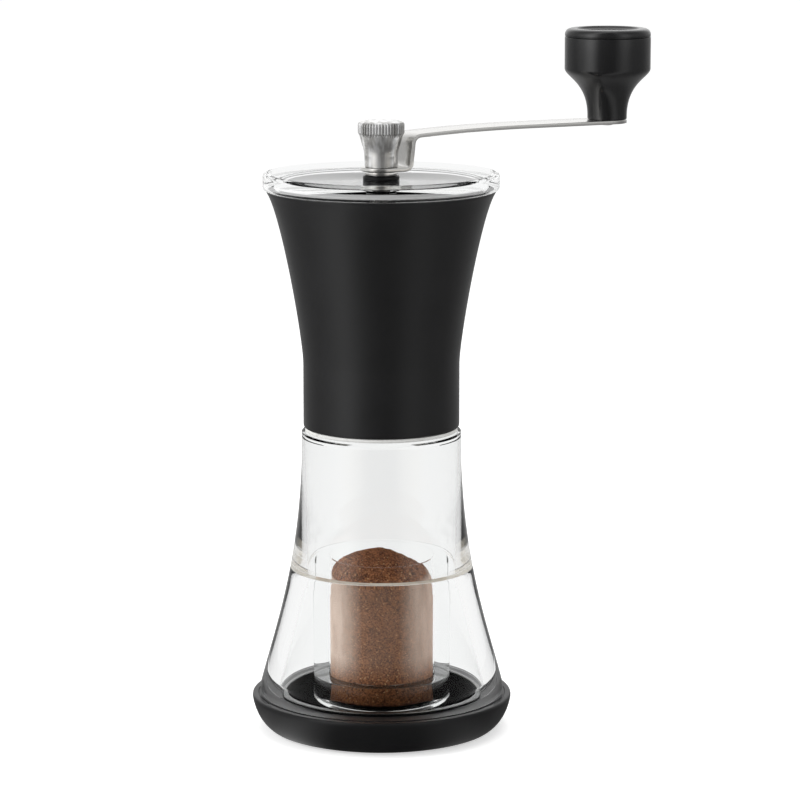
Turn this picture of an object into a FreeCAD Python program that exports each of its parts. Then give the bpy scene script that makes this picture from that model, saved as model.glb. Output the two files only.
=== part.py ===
import FreeCAD, Part
import math
import os

from FreeCAD import Vector

# Hand cranked burr mill, in millimetres.
# The origin is the centre of the base's underside, +Z is up and the crank arm points along +X.
# Heights are measured from the underside, radii from the mill's axis.

# Running and seating clearances, and how far a cutter or a joined block reaches past its face
REST_GAP = 0.1
RUNNING_GAP = 0.05
LIFT_GAP = 0.4
SPIGOT_GAP = 0.4
OVERRUN = 1.0

# Base tray and its rubber pad
BASE_RADIUS = 45.0
BASE_FOOT_INSET = 7.0
BASE_HEIGHT = 12.6
BASE_RIM_ROUND = 1.2
BASE_RUN_COUNT = 2
FOOT_PULL_RADIUS = 4.5
FOOT_PULL_HEIGHT = 2.1
SIDE_PULL_RADIUS = 0.4
SIDE_PULL_HEIGHT = 3.4
RECESS_DEPTH = 3.2
RING_RISE = 0.8
RING_WIDTH = 1.5
PAD_MARGIN = 1.5
PAD_THICKNESS = 2.0
PAD_PROUD = 0.5

# Clear jar and upper chamber: one outer curve from the foot to the waist, joined at the seam
JAR_INSET = 2.6
JAR_FOOT_RISE = 1.9
JAR_FOOT_DRAFT = 0.6
JAR_FOOT_WALL = 7.2
JAR_BORE_STRAIGHT = 4.6
JAR_NECK_STRAIGHT = 5.5
SEAM_HEIGHT = 57.0
CHAMBER_BORE = 26.4
CHAMBER_WALL = 1.06
WAIST_DROP = 2.2
WAIST_PULL = 43.9
SKIRT_PULL_RADIUS = 4.4
SKIRT_PULL_HEIGHT = 18.5
CLEAR_RUN_COUNT = 5
SHOULDER_HEIGHT = 105.2
SHOULDER_THICKNESS = 1.6
NECK_WALL = 1.3
NECK_LENGTH = 9.6
SEAL_THICKNESS = 1.2
SEAL_WIDTH = 0.8

# Cup that holds the ground coffee
CUP_GAP = 2.7
CUP_WALL = 5.7
CUP_FLOOR = 1.2
CUP_HEIGHT = 50.5
CUP_LIP_DROP = 1.2

# Body shell with the bean hopper
BODY_STEP = 0.59
BODY_SKIRT_WALL = 1.37
BODY_BORE_WALL = 2.27
BODY_FOOT_ROUND = 1.2
BODY_SKIRT_LENGTH = 21.9
BODY_FLARE_LENGTH = 59.8
BODY_FLARE_PULL = 8.3
BODY_RIM_PULL_RADIUS = 4.85
BODY_RIM_PULL_HEIGHT = 6.7
BODY_RIM_RADIUS = 39.3
BODY_RUN_COUNT = 4
BODY_WALL = 2.2
HOPPER_THROAT_MARGIN = 4.0
HOPPER_THROAT_LIP = 1.0
HOPPER_SLOPE = 50.0

# Outer burr in its carrier
BURR_SEAT_RISE = 13.0
CARRIER_HEIGHT = 22.8
CARRIER_WALL = 4.1
CARRIER_LIP = 2.0
CARRIER_LIP_REACH = 3.9
OUTER_BURR_WALL = 2.25
OUTER_BURR_THROAT = 13.0
OUTER_BURR_TEETH = 10
OUTER_TOOTH_DEPTH = 1.7
OUTER_BURR_TWIST = -40.0
RETAINER_THICKNESS = 1.5
RETAINER_GAP = 1.4

# Inner burr, its drive plate and the grind dial
INNER_BURR_TOP_RADIUS = 7.6
INNER_BURR_HEIGHT = 20.5
INNER_BURR_FLUTES = 7
INNER_FLUTE_DEPTH = 2.4
INNER_RIM_DEPTH = 0.6
INNER_BURR_TWIST = 55.0
INNER_BURR_RIM = 2.2
BURR_CLEARANCE = 0.35
BURR_TRAVEL = 1.875
DRIVE_PLATE_RADIUS = 9.0
DRIVE_PLATE_THICKNESS = 1.0
DIAL_RADIUS = 11.0
DIAL_HEIGHT = 9.0
DIAL_WEB = 1.5
DIAL_LOBES = 6
DIAL_LOBE_RADIUS = 3.4
DIAL_LOBE_OFFSET = 1.36
DIAL_HUB_RADIUS = 7.0
DIAL_HUB_DROP = 1.4

# Drive shaft, its upper bearing and the spring
SHAFT_RADIUS = 4.0
SHAFT_FLATS = 6.8
SHAFT_TAIL = 2.625
BRIDGE_DROP = 26.2
BRIDGE_HUB_WALL = 3.05
BRIDGE_HUB_HEIGHT = 10.0
BRIDGE_ARMS = 3
BRIDGE_FIRST_ANGLE = 60.0
BRIDGE_ARM_WIDTH = 5.0
BRIDGE_ARM_HEIGHT = 5.0
BRIDGE_ARM_LIFT = 3.0
BRIDGE_ARM_ROUND = 1.5
LUG_WIDTH = 8.0
LUG_HEIGHT = 9.0
LUG_DEPTH = 3.0
LUG_TIP = 2.0
LUG_FOOT = 0.2
BUSH_WALL = 1.9
BUSH_FLANGE_WIDTH = 2.1
BUSH_FLANGE = 1.5
CLIP_WASHER_WIDTH = 3.0
CLIP_WASHER_THICKNESS = 0.8
CLIP_WIDTH = 2.2
CLIP_THICKNESS = 1.0
CLIP_GROOVE_DEPTH = 0.6
CLIP_PLAY = 0.02
CLIP_MOUTH = 5.2
SPRING_SEAT_MARGIN = 1.6
SPRING_SEAT_THICKNESS = 1.0
SPRING_PLAY = 1.4
SPRING_WIRE = 1.2

# Clear lid and its bush
LID_OVERHANG = 1.05
LID_BOTTOM_GAP = 0.2
LID_HEIGHT = 5.5
LID_DISH = 2.0
LID_PLATE_THICKNESS = 2.5
LID_RIM_WIDTH = 3.0
LID_RIM_SLOPE = 2.8
LID_ROUND = 0.9
LID_SKIRT_WALL = 1.6
LID_SKIRT_DEPTH = 2.4
LID_BUSH_WALL = 0.9
LID_BUSH_LIP = 1.2
LID_BUSH_FLANGE = 1.1
LID_BUSH_DROP = 1.0

# Crank arm: a bent strip, drawn by its centre line from the hub outwards
ARM_WIDTH = 14.0
ARM_THICKNESS = 1.3
ARM_BUSH_RADIUS = 5.6
ARM_BUSH_HEIGHT = 1.6
CRANK_RADIUS = 87.0
HUB_MARGIN = 0.25
RISER_BEND = 2.4
RISER_ANGLE = 84.0
RISER_LENGTH = 6.6
KNEE_BEND = 3.0
ARCH_ANGLE = 3.75
ARCH_RADIUS = 640.0
DRIVE_SQUARE = 6.0
SQUARE_END_GAP = 0.2
STUD_STEP = 0.05
STUD_LENGTH = 12.5
STUD_END_ROOM = 0.5

# Thumb nut
NUT_FOOT_RADIUS = 5.75
NUT_HEIGHT = 15.9
NUT_WAIST_HEIGHT = 3.9
NUT_CROWN_RADIUS = 7.95
NUT_CROWN_HEIGHT = 4.4
NUT_CROWN_STEP = 0.55
NUT_RUN_COUNT = 2
NUT_DOME = 0.9
NUT_DOME_INSET = 1.55
NUT_RIDGES = 46
NUT_RIDGE_DEPTH = 0.35

# Knob, cap and pin
KNOB_HEIGHT = 31.6
KNOB_FOOT_RADIUS = 6.9
KNOB_RADIUS = 15.0
KNOB_FOOT_STRAIGHT = 1.0
KNOB_WAIST_PULL = 11.9
KNOB_SHOULDER_HEIGHT = 17.7
KNOB_SHOULDER_PULL = 3.1
KNOB_RUN_COUNT = 4
KNOB_RIM_ROUND = 2.2
KNOB_RIM_DROP = 1.3
KNOB_DISH_MARGIN = 4.5
KNOB_DISH_DEPTH = 1.0
KNOB_CAVITY_WALL = 3.5
KNOB_CAVITY_DEPTH = 3.0
CAP_HEIGHT = 2.9
CAP_PLUG_LENGTH = 2.0
PIN_RADIUS = 3.0
PIN_HEAD_LIP = 2.0
PIN_HEAD_HEIGHT = 1.6
PIN_HEAD_ROOM = 1.5
PIN_POCKET_DEPTH = 6.2
PIN_NECK_STEP = 1.0
PIN_NECK_PLAY = 0.02
RIVET_LIP = 0.4
RIVET_HEIGHT = 0.9
KNOB_WASHER_WIDTH = 2.4
KNOB_WASHER_THICKNESS = 0.5

AXIS = Vector(0, 0, 1)
ORIGIN = Vector(0, 0, 0)
BIG = 400.0  # wider than the mill, for blocks that cut right across it


# Shapes shared by many pieces

def lathe(*outline):
    """Turn a closed outline of (radius, height) points round the axis."""
    points = [Vector(radius, 0, height) for radius, height in outline]
    face = Part.Face(Part.makePolygon(points + points[:1]))
    return solid_of(face.revolve(ORIGIN, AXIS, 360))


def runs_along(count, *poles):
    """Ends of the straight runs that follow a curve with these poles, without its start."""
    ends = []
    for index in range(1, count + 1):
        share = index / count
        inner = list(poles)
        while len(inner) > 1:
            inner = [between(low, high, share) for low, high in zip(inner, inner[1:])]
        ends.append(inner[0])
    return ends


def between(first, second, share):
    """The point part of the way from one (radius, height) to another."""
    return tuple(a + (b - a) * share for a, b in zip(first, second))


def solid_of(shape):
    """The one solid of a boolean's result, or the shape itself."""
    return shape.Solids[0] if len(shape.Solids) == 1 else shape


def disc(radius, low, high):
    """A plain cylinder on the axis between two heights."""
    return Part.makeCylinder(radius, high - low, Vector(0, 0, low))


def tube(bore, radius, low, high):
    """A plain ring on the axis between two heights."""
    return solid_of(disc(radius, low, high).cut(disc(bore, low - OVERRUN, high + OVERRUN)))


def around(shape, count, first_angle=0.0):
    """Copies of a shape spread evenly round the axis."""
    copies = []
    for index in range(count):
        copy = shape.copy()
        copy.rotate(ORIGIN, AXIS, first_angle + index * 360.0 / count)
        copies.append(copy)
    return copies


def at_knob(shape):
    """Move a piece from the mill's axis to the knob's axis."""
    moved = shape.copy()
    moved.translate(Vector(CRANK_RADIUS, 0, 0))
    return moved


def radius_at(outline, height):
    """Radius of a rising outline at a height."""
    for low, high in zip(outline, outline[1:]):
        if height <= high[1]:
            break
    return between(low, high, (height - low[1]) / (high[1] - low[1]))[0]


def tooth_wire(radius, depth, count, angle, height):
    """A saw-tooth ring: each tooth has a steep flank and a long back."""
    points = []
    for index in range(count):
        start = math.radians(angle + index * 360.0 / count)
        valley = start + math.radians(0.22 * 360.0 / count)
        for turn, reach in ((start, radius), (valley, radius - depth)):
            points.append(Vector(reach * math.cos(turn), reach * math.sin(turn), height))
    return Part.makePolygon(points + points[:1])


def toothed_cone(levels, count, twist):
    """A cone with spiral teeth, lofted through saw-tooth rings (radius, depth, height)."""
    low = levels[0][2]
    span = levels[-1][2] - low
    rings = []
    for radius, depth, height in levels:
        rings.append(tooth_wire(radius, depth, count, twist * (height - low) / span, height))
    return solid_of(Part.makeLoft(rings, True, True))


# Radii that follow from the sizes above, and heights from the base up to the nut

BASE_FOOT_RADIUS = BASE_RADIUS - BASE_FOOT_INSET
PAD_RADIUS = BASE_FOOT_RADIUS - PAD_MARGIN
JAR_RADIUS = BASE_RADIUS - JAR_INSET
JAR_FOOT_BORE = JAR_RADIUS - JAR_FOOT_WALL
RING_RADIUS = JAR_FOOT_BORE - SPIGOT_GAP
CHAMBER_RADIUS = CHAMBER_BORE + CHAMBER_WALL
CUP_RADIUS = CHAMBER_BORE - CUP_GAP
BODY_WAIST_RADIUS = CHAMBER_RADIUS - BODY_STEP
BODY_SKIRT_BORE = BODY_WAIST_RADIUS - BODY_SKIRT_WALL
NECK_RADIUS = BODY_SKIRT_BORE - REST_GAP
NECK_BORE = NECK_RADIUS - NECK_WALL
CARRIER_RADIUS = BODY_WAIST_RADIUS - BODY_BORE_WALL - REST_GAP
OUTER_BURR_RADIUS = CARRIER_RADIUS - CARRIER_WALL
CARRIER_MOUTH = OUTER_BURR_RADIUS - CARRIER_LIP_REACH
HOPPER_THROAT = CARRIER_MOUTH + HOPPER_THROAT_MARGIN
OUTER_BURR_FOOT = OUTER_BURR_RADIUS - OUTER_BURR_WALL
INNER_BURR_RADIUS = OUTER_BURR_FOOT - INNER_RIM_DEPTH - BURR_CLEARANCE
RETAINER_BORE = INNER_BURR_RADIUS + RETAINER_GAP
BUSH_RADIUS = SHAFT_RADIUS + BUSH_WALL
SPRING_RADIUS = SHAFT_RADIUS + SPRING_PLAY + SPRING_WIRE
LID_RADIUS = BODY_RIM_RADIUS + LID_OVERHANG
LID_HOLE = SHAFT_RADIUS + REST_GAP + LID_BUSH_WALL
STUD_RADIUS = DRIVE_SQUARE / 2 - STUD_STEP
KNOB_CAVITY_RADIUS = KNOB_RADIUS - KNOB_CAVITY_WALL
PIN_HEAD_RADIUS = PIN_RADIUS + PIN_HEAD_LIP
PIN_NECK_RADIUS = PIN_RADIUS - PIN_NECK_STEP
KNOB_WASHER_RADIUS = PIN_RADIUS + KNOB_WASHER_WIDTH

RECESS_HEIGHT = BASE_HEIGHT - RECESS_DEPTH
RING_HEIGHT = BASE_HEIGHT + RING_RISE
JAR_WIDEST_HEIGHT = BASE_HEIGHT + JAR_FOOT_RISE
JAR_CONE_TOP = SEAM_HEIGHT - JAR_NECK_STRAIGHT
CUP_FOOT = RECESS_HEIGHT + REST_GAP
WAIST_HEIGHT = SHOULDER_HEIGHT - WAIST_DROP
NECK_TOP = SHOULDER_HEIGHT + NECK_LENGTH
BODY_FOOT = SHOULDER_HEIGHT + SEAL_THICKNESS + REST_GAP
BODY_FLARE_START = BODY_FOOT + BODY_SKIRT_LENGTH
BODY_TOP = BODY_FLARE_START + BODY_FLARE_LENGTH
BURR_SEAT = SHOULDER_HEIGHT + BURR_SEAT_RISE
BODY_CEILING = BURR_SEAT - RETAINER_THICKNESS
CARRIER_TOP = BURR_SEAT + CARRIER_HEIGHT
HOPPER_FLOOR = CARRIER_TOP + REST_GAP + HOPPER_THROAT_LIP
INNER_BURR_FOOT = BURR_SEAT - BURR_TRAVEL
INNER_BURR_TOP = INNER_BURR_FOOT + INNER_BURR_HEIGHT
DIAL_TOP = INNER_BURR_FOOT - REST_GAP
DIAL_FOOT = DIAL_TOP - DIAL_HEIGHT
SHAFT_END = DIAL_FOOT - SHAFT_TAIL
BRIDGE_HEIGHT = BODY_TOP - BRIDGE_DROP
BRIDGE_TOP = BRIDGE_HEIGHT + BRIDGE_HUB_HEIGHT
BRIDGE_ARM_BASE = BRIDGE_HEIGHT + BRIDGE_ARM_LIFT
BUSH_TOP = BRIDGE_TOP + BUSH_FLANGE
CLIP_LEVEL = BUSH_TOP + REST_GAP + CLIP_WASHER_THICKNESS
SPRING_TOP = BRIDGE_HEIGHT - REST_GAP - SPRING_SEAT_THICKNESS
LID_BOTTOM = BODY_TOP + LID_BOTTOM_GAP
LID_TOP = LID_BOTTOM + LID_HEIGHT
LID_PLATE_TOP = LID_TOP - LID_DISH
LID_BUSH_TOP = LID_PLATE_TOP + LID_BUSH_FLANGE
ARM_BUSH_BASE = LID_BUSH_TOP + REST_GAP
ARM_BASE = ARM_BUSH_BASE + ARM_BUSH_HEIGHT
ARM_TOP = ARM_BASE + ARM_THICKNESS
NUT_BASE = ARM_TOP + REST_GAP

# Outer forms, from the foot upwards

JAR_START = (JAR_RADIUS, JAR_WIDEST_HEIGHT)
CLEAR_OUTLINE = [JAR_START] + runs_along(
    CLEAR_RUN_COUNT,
    JAR_START,
    (JAR_RADIUS - SKIRT_PULL_RADIUS, JAR_WIDEST_HEIGHT + SKIRT_PULL_HEIGHT),
    (CHAMBER_RADIUS, WAIST_HEIGHT - WAIST_PULL),
    (CHAMBER_RADIUS, WAIST_HEIGHT),
)
FLARE_START = (BODY_WAIST_RADIUS, BODY_FLARE_START)
BODY_OUTLINE = [FLARE_START] + runs_along(
    BODY_RUN_COUNT,
    FLARE_START,
    (BODY_WAIST_RADIUS, BODY_FLARE_START + BODY_FLARE_PULL),
    (BODY_RIM_RADIUS - BODY_RIM_PULL_RADIUS, BODY_TOP - BODY_RIM_PULL_HEIGHT),
    (BODY_RIM_RADIUS, BODY_TOP),
)


# Base tray, pad and clear housing

def base_foot():
    """Black tray: rounded side, flat ledge under the jar's foot and a raised ring inside the jar."""
    ring_bore = RING_RADIUS - RING_WIDTH
    widest = BASE_HEIGHT - BASE_RIM_ROUND
    foot = (BASE_FOOT_RADIUS, PAD_PROUD)
    side = runs_along(
        BASE_RUN_COUNT,
        foot,
        (BASE_FOOT_RADIUS + FOOT_PULL_RADIUS, PAD_PROUD + FOOT_PULL_HEIGHT),
        (BASE_RADIUS - SIDE_PULL_RADIUS, widest - SIDE_PULL_HEIGHT),
        (BASE_RADIUS, widest),
    )
    return lathe(
        (0, PAD_THICKNESS),
        (PAD_RADIUS + REST_GAP, PAD_THICKNESS),
        (PAD_RADIUS + REST_GAP, PAD_PROUD),
        foot,
        *side,
        (BASE_RADIUS - BASE_RIM_ROUND / 2, BASE_HEIGHT),
        (RING_RADIUS, BASE_HEIGHT),
        (RING_RADIUS, RING_HEIGHT),
        (ring_bore, RING_HEIGHT),
        (ring_bore, RECESS_HEIGHT),
        (0, RECESS_HEIGHT),
    )


def grip_pad():
    """Rubber pad in the tray's underside."""
    return disc(PAD_RADIUS, 0, PAD_THICKNESS)


def clear_form():
    """Outer form of the jar and chamber together, from the foot to the shoulder."""
    return lathe(
        (0, BASE_HEIGHT),
        (JAR_RADIUS - JAR_FOOT_DRAFT, BASE_HEIGHT),
        *CLEAR_OUTLINE,
        (CHAMBER_RADIUS, SHOULDER_HEIGHT),
        (0, SHOULDER_HEIGHT),
    )


def lower_jar():
    """Thick clear jar: conical inside, straight bores at its foot and at the seam."""
    bore = lathe(
        (0, BASE_HEIGHT - OVERRUN),
        (JAR_FOOT_BORE, BASE_HEIGHT - OVERRUN),
        (JAR_FOOT_BORE, BASE_HEIGHT + JAR_BORE_STRAIGHT),
        (CHAMBER_BORE, JAR_CONE_TOP),
        (CHAMBER_BORE, SEAM_HEIGHT + OVERRUN),
        (0, SEAM_HEIGHT + OVERRUN),
    )
    jar = clear_form().common(disc(BIG, BASE_HEIGHT - OVERRUN, SEAM_HEIGHT))
    return solid_of(jar.cut(bore))


def upper_chamber():
    """Clear chamber above the seam, with a shoulder and the neck that the body screws on."""
    under_shoulder = SHOULDER_HEIGHT - SHOULDER_THICKNESS
    bore = lathe(
        (0, SEAM_HEIGHT - OVERRUN),
        (CHAMBER_BORE, SEAM_HEIGHT - OVERRUN),
        (CHAMBER_BORE, under_shoulder),
        (NECK_BORE, under_shoulder),
        (NECK_BORE, NECK_TOP + OVERRUN),
        (0, NECK_TOP + OVERRUN),
    )
    chamber = clear_form().common(disc(BIG, SEAM_HEIGHT, SHOULDER_HEIGHT + OVERRUN))
    chamber = chamber.fuse(disc(NECK_RADIUS, SHOULDER_HEIGHT - SHOULDER_THICKNESS, NECK_TOP))
    return solid_of(chamber.cut(bore).removeSplitter())


def neck_seal():
    """Soft ring on the chamber's shoulder, under the body's foot."""
    bore = NECK_RADIUS + RUNNING_GAP
    return tube(bore, bore + SEAL_WIDTH, SHOULDER_HEIGHT, SHOULDER_HEIGHT + SEAL_THICKNESS)


def coffee_cup():
    """Thick clear cup: straight walls, with a rim that falls away outwards from the mouth."""
    foot = CUP_FOOT
    top = foot + CUP_HEIGHT
    bore = CUP_RADIUS - CUP_WALL
    return lathe(
        (0, foot),
        (CUP_RADIUS, foot),
        (CUP_RADIUS, top - CUP_LIP_DROP),
        (bore, top),
        (bore, foot + CUP_FLOOR),
        (0, foot + CUP_FLOOR),
    )


# Body shell and what it carries

def mill_body():
    """Flared shell: skirt over the neck, bore for the carrier, hopper cone and rim."""
    outer = lathe(
        (0, BODY_FOOT),
        (BODY_WAIST_RADIUS - BODY_FOOT_ROUND, BODY_FOOT),
        (BODY_WAIST_RADIUS, BODY_FOOT + BODY_FOOT_ROUND),
        *BODY_OUTLINE,
        (0, BODY_TOP),
    )
    hopper = lathe(
        (0, BODY_FLARE_START),
        *[(radius - BODY_WALL, height) for radius, height in BODY_OUTLINE],
        (0, BODY_TOP),
    )
    reach = (BODY_TOP - HOPPER_FLOOR) / math.tan(math.radians(HOPPER_SLOPE))
    funnel = lathe(
        (0, HOPPER_FLOOR),
        (HOPPER_THROAT, HOPPER_FLOOR),
        (HOPPER_THROAT + reach, BODY_TOP),
        (0, BODY_TOP),
    )
    hopper = hopper.common(funnel)
    skirt = disc(BODY_SKIRT_BORE, BODY_FOOT - OVERRUN, BODY_CEILING)
    seat = disc(CARRIER_RADIUS + REST_GAP, BODY_CEILING - OVERRUN, CARRIER_TOP + REST_GAP)
    throat = disc(HOPPER_THROAT, CARRIER_TOP, HOPPER_FLOOR + OVERRUN)
    shell = outer.cut(hopper)
    for hollow in (skirt, seat, throat):
        shell = shell.cut(hollow)
    for lug in bridge_lugs():
        shell = shell.fuse(lug)
    return solid_of(shell.removeSplitter())


def hopper_radius(height):
    """Inside radius of the hopper at a height."""
    return radius_at(BODY_OUTLINE, height) - BODY_WALL


def bridge_lugs():
    """Small shelves on the hopper's wall that carry the bridge's arms."""
    top = BRIDGE_ARM_BASE
    low = top - LUG_HEIGHT
    inner = hopper_radius(top) - LUG_DEPTH
    wedge = Part.makePolygon([
        Vector(inner, 0, top),
        Vector(hopper_radius(top) + BODY_WALL / 2, 0, top),
        Vector(hopper_radius(low) + BODY_WALL / 2, 0, low),
        Vector(hopper_radius(low) - LUG_FOOT, 0, low),
        Vector(inner, 0, top - LUG_TIP),
        Vector(inner, 0, top),
    ])
    lug = Part.Face(wedge).extrude(Vector(0, LUG_WIDTH, 0))
    lug.translate(Vector(0, -LUG_WIDTH / 2, 0))
    return around(lug, BRIDGE_ARMS, BRIDGE_FIRST_ANGLE)


def burr_carrier():
    """Plastic ring that holds the outer burr, with a lip over its top."""
    bore = OUTER_BURR_RADIUS + RUNNING_GAP
    lip = CARRIER_TOP - CARRIER_LIP
    return lathe(
        (bore, BURR_SEAT),
        (CARRIER_RADIUS, BURR_SEAT),
        (CARRIER_RADIUS, CARRIER_TOP),
        (CARRIER_MOUTH + CARRIER_LIP, CARRIER_TOP),
        (CARRIER_MOUTH, lip),
        (bore, lip),
    )


def outer_burr():
    """Ceramic ring with spiral teeth inside, wide at its foot."""
    top = CARRIER_TOP - CARRIER_LIP
    bore = toothed_cone(
        (
            (OUTER_BURR_FOOT, INNER_RIM_DEPTH, BURR_SEAT),
            (OUTER_BURR_THROAT + OUTER_TOOTH_DEPTH, OUTER_TOOTH_DEPTH, top),
        ),
        OUTER_BURR_TEETH,
        OUTER_BURR_TWIST,
    )
    return solid_of(disc(OUTER_BURR_RADIUS, BURR_SEAT, top).cut(bore))


def burr_retainer():
    """Flat ring under the burr and its carrier."""
    return tube(RETAINER_BORE, CARRIER_RADIUS - REST_GAP, BODY_CEILING, BURR_SEAT)


def hopper_bridge():
    """Three-armed bridge across the hopper, with a hub for the shaft's bush."""
    bore = BUSH_RADIUS + RUNNING_GAP
    hub_radius = bore + BRIDGE_HUB_WALL
    hub = tube(bore, hub_radius, BRIDGE_HEIGHT, BRIDGE_TOP)
    start = hub_radius - OVERRUN
    end = hopper_radius(BRIDGE_ARM_BASE) - LIFT_GAP
    arm = Part.makeBox(
        end - start,
        BRIDGE_ARM_WIDTH,
        BRIDGE_ARM_HEIGHT,
        Vector(start, -BRIDGE_ARM_WIDTH / 2, BRIDGE_ARM_BASE),
    )
    middle = BRIDGE_ARM_BASE + BRIDGE_ARM_HEIGHT / 2
    tops = []
    for edge in arm.Edges:
        if edge.BoundBox.ZMin > middle and edge.BoundBox.XLength > BRIDGE_ARM_WIDTH:
            tops.append(edge)
    arm = arm.makeFillet(BRIDGE_ARM_ROUND, tops)
    bridge = hub
    for copy in around(arm, BRIDGE_ARMS, BRIDGE_FIRST_ANGLE):
        bridge = bridge.fuse(copy)
    return solid_of(bridge.removeSplitter())


def upper_bush():
    """Flanged bearing bush in the bridge's hub."""
    bore = SHAFT_RADIUS + RUNNING_GAP
    flange = BUSH_RADIUS + BUSH_FLANGE_WIDTH
    return lathe(
        (bore, BRIDGE_HEIGHT),
        (BUSH_RADIUS, BRIDGE_HEIGHT),
        (BUSH_RADIUS, BRIDGE_TOP),
        (flange, BRIDGE_TOP),
        (flange, BUSH_TOP),
        (bore, BUSH_TOP),
    )


# Lid

def lid():
    """Clear lid: raised rim, dished plate, locating skirt and centre hole."""
    skirt_low = LID_BOTTOM - LID_SKIRT_DEPTH
    skirt_radius = hopper_radius(skirt_low) - LIFT_GAP
    skirt_bore = skirt_radius - LID_SKIRT_WALL
    plate_low = LID_PLATE_TOP - LID_PLATE_THICKNESS
    rim_inner = LID_RADIUS - LID_RIM_WIDTH
    return lathe(
        (LID_HOLE, plate_low),
        (skirt_bore, plate_low),
        (skirt_bore, skirt_low),
        (skirt_radius, skirt_low),
        (skirt_radius, LID_BOTTOM),
        (LID_RADIUS, LID_BOTTOM),
        (LID_RADIUS, LID_TOP - LID_ROUND),
        (LID_RADIUS - LID_ROUND, LID_TOP),
        (rim_inner, LID_TOP),
        (rim_inner - LID_RIM_SLOPE, LID_PLATE_TOP),
        (LID_HOLE, LID_PLATE_TOP),
    )


def lid_bush():
    """Black flanged bush in the lid's centre, which guides the shaft."""
    low = LID_PLATE_TOP - LID_PLATE_THICKNESS - LID_BUSH_DROP
    bore = SHAFT_RADIUS + REST_GAP
    sleeve = LID_HOLE - RUNNING_GAP
    flange = LID_HOLE + LID_BUSH_LIP
    return lathe(
        (bore, low),
        (sleeve, low),
        (sleeve, LID_PLATE_TOP),
        (flange, LID_PLATE_TOP),
        (flange, LID_BUSH_TOP),
        (bore, LID_BUSH_TOP),
    )


# Shaft, bearing stack and burr drive

def shaft_flats(gap, low, high):
    """Block as wide as the shaft's flats, used for the shaft and the holes it drives."""
    width = SHAFT_FLATS + 2 * gap
    return Part.makeBox(BIG, width, high - low, Vector(-BIG / 2, -width / 2, low))


def drive_square(gap, low, high):
    """Square drive between the shaft and the crank arm."""
    side = DRIVE_SQUARE + 2 * gap
    return Part.makeBox(side, side, high - low, Vector(-side / 2, -side / 2, low))


def drive_shaft():
    """Steel shaft: flats through the burr, clip groove, square drive and threaded stud."""
    shoulder = LID_BUSH_TOP
    shaft = disc(SHAFT_RADIUS, SHAFT_END, shoulder)
    flats_low = DIAL_TOP + REST_GAP / 2
    flats_high = INNER_BURR_FOOT + DRIVE_PLATE_THICKNESS + BURR_TRAVEL + OVERRUN
    span = disc(SHAFT_RADIUS + OVERRUN, flats_low, flats_high)
    shaft = shaft.cut(span.cut(shaft_flats(0, flats_low, flats_high)))
    shaft = shaft.cut(tube(
        SHAFT_RADIUS - CLIP_GROOVE_DEPTH,
        SHAFT_RADIUS + OVERRUN,
        CLIP_LEVEL,
        CLIP_LEVEL + CLIP_THICKNESS,
    ))
    square_top = ARM_TOP - SQUARE_END_GAP
    square = drive_square(0, shoulder - OVERRUN, square_top)
    stud = disc(STUD_RADIUS, square_top - OVERRUN, NUT_BASE + STUD_LENGTH)
    rounded = disc(SHAFT_RADIUS - RUNNING_GAP, shoulder - OVERRUN, square_top)
    return solid_of(shaft.fuse(square.common(rounded)).fuse(stud).removeSplitter())


def clip_washer():
    """Washer between the bush's flange and the retaining clip."""
    low = BUSH_TOP + REST_GAP
    bore = SHAFT_RADIUS + RUNNING_GAP
    return tube(bore, SHAFT_RADIUS + CLIP_WASHER_WIDTH, low, CLIP_LEVEL)


def shaft_clip():
    """Open retaining clip in the shaft's groove."""
    bore = SHAFT_RADIUS - CLIP_GROOVE_DEPTH + CLIP_PLAY
    clip = tube(bore, SHAFT_RADIUS + CLIP_WIDTH, CLIP_LEVEL, CLIP_LEVEL + CLIP_THICKNESS)
    corner = Vector(0, -CLIP_MOUTH / 2, CLIP_LEVEL)
    mouth = Part.makeBox(BIG, CLIP_MOUTH, CLIP_THICKNESS, corner)
    return solid_of(clip.cut(mouth))


def spring_seat():
    """Washer under the bridge's hub that the spring pushes on."""
    return tube(
        SHAFT_RADIUS + RUNNING_GAP,
        SPRING_RADIUS + SPRING_SEAT_MARGIN,
        SPRING_TOP,
        SPRING_TOP + SPRING_SEAT_THICKNESS,
    )


def burr_spring():
    """Space of the spring between its seat and the inner burr."""
    return tube(SPRING_RADIUS - SPRING_WIRE, SPRING_RADIUS, INNER_BURR_TOP + REST_GAP, SPRING_TOP)


def inner_burr():
    """Ceramic cone with spiral flutes that deepen towards its top, and a recess for the plate."""
    foot = INNER_BURR_FOOT
    slope = (INNER_BURR_RADIUS - INNER_BURR_TOP_RADIUS) / INNER_BURR_HEIGHT
    cone = toothed_cone(
        (
            (INNER_BURR_RADIUS, INNER_RIM_DEPTH, foot),
            (INNER_BURR_RADIUS - slope * INNER_BURR_RIM, INNER_RIM_DEPTH, foot + INNER_BURR_RIM),
            (INNER_BURR_TOP_RADIUS, INNER_FLUTE_DEPTH, INNER_BURR_TOP),
        ),
        INNER_BURR_FLUTES,
        INNER_BURR_TWIST,
    )
    bore = disc(SHAFT_RADIUS + REST_GAP, foot - OVERRUN, INNER_BURR_TOP + OVERRUN)
    recess = disc(
        DRIVE_PLATE_RADIUS + RUNNING_GAP,
        foot - OVERRUN,
        foot + DRIVE_PLATE_THICKNESS,
    )
    return solid_of(cone.cut(bore).cut(recess))


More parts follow.
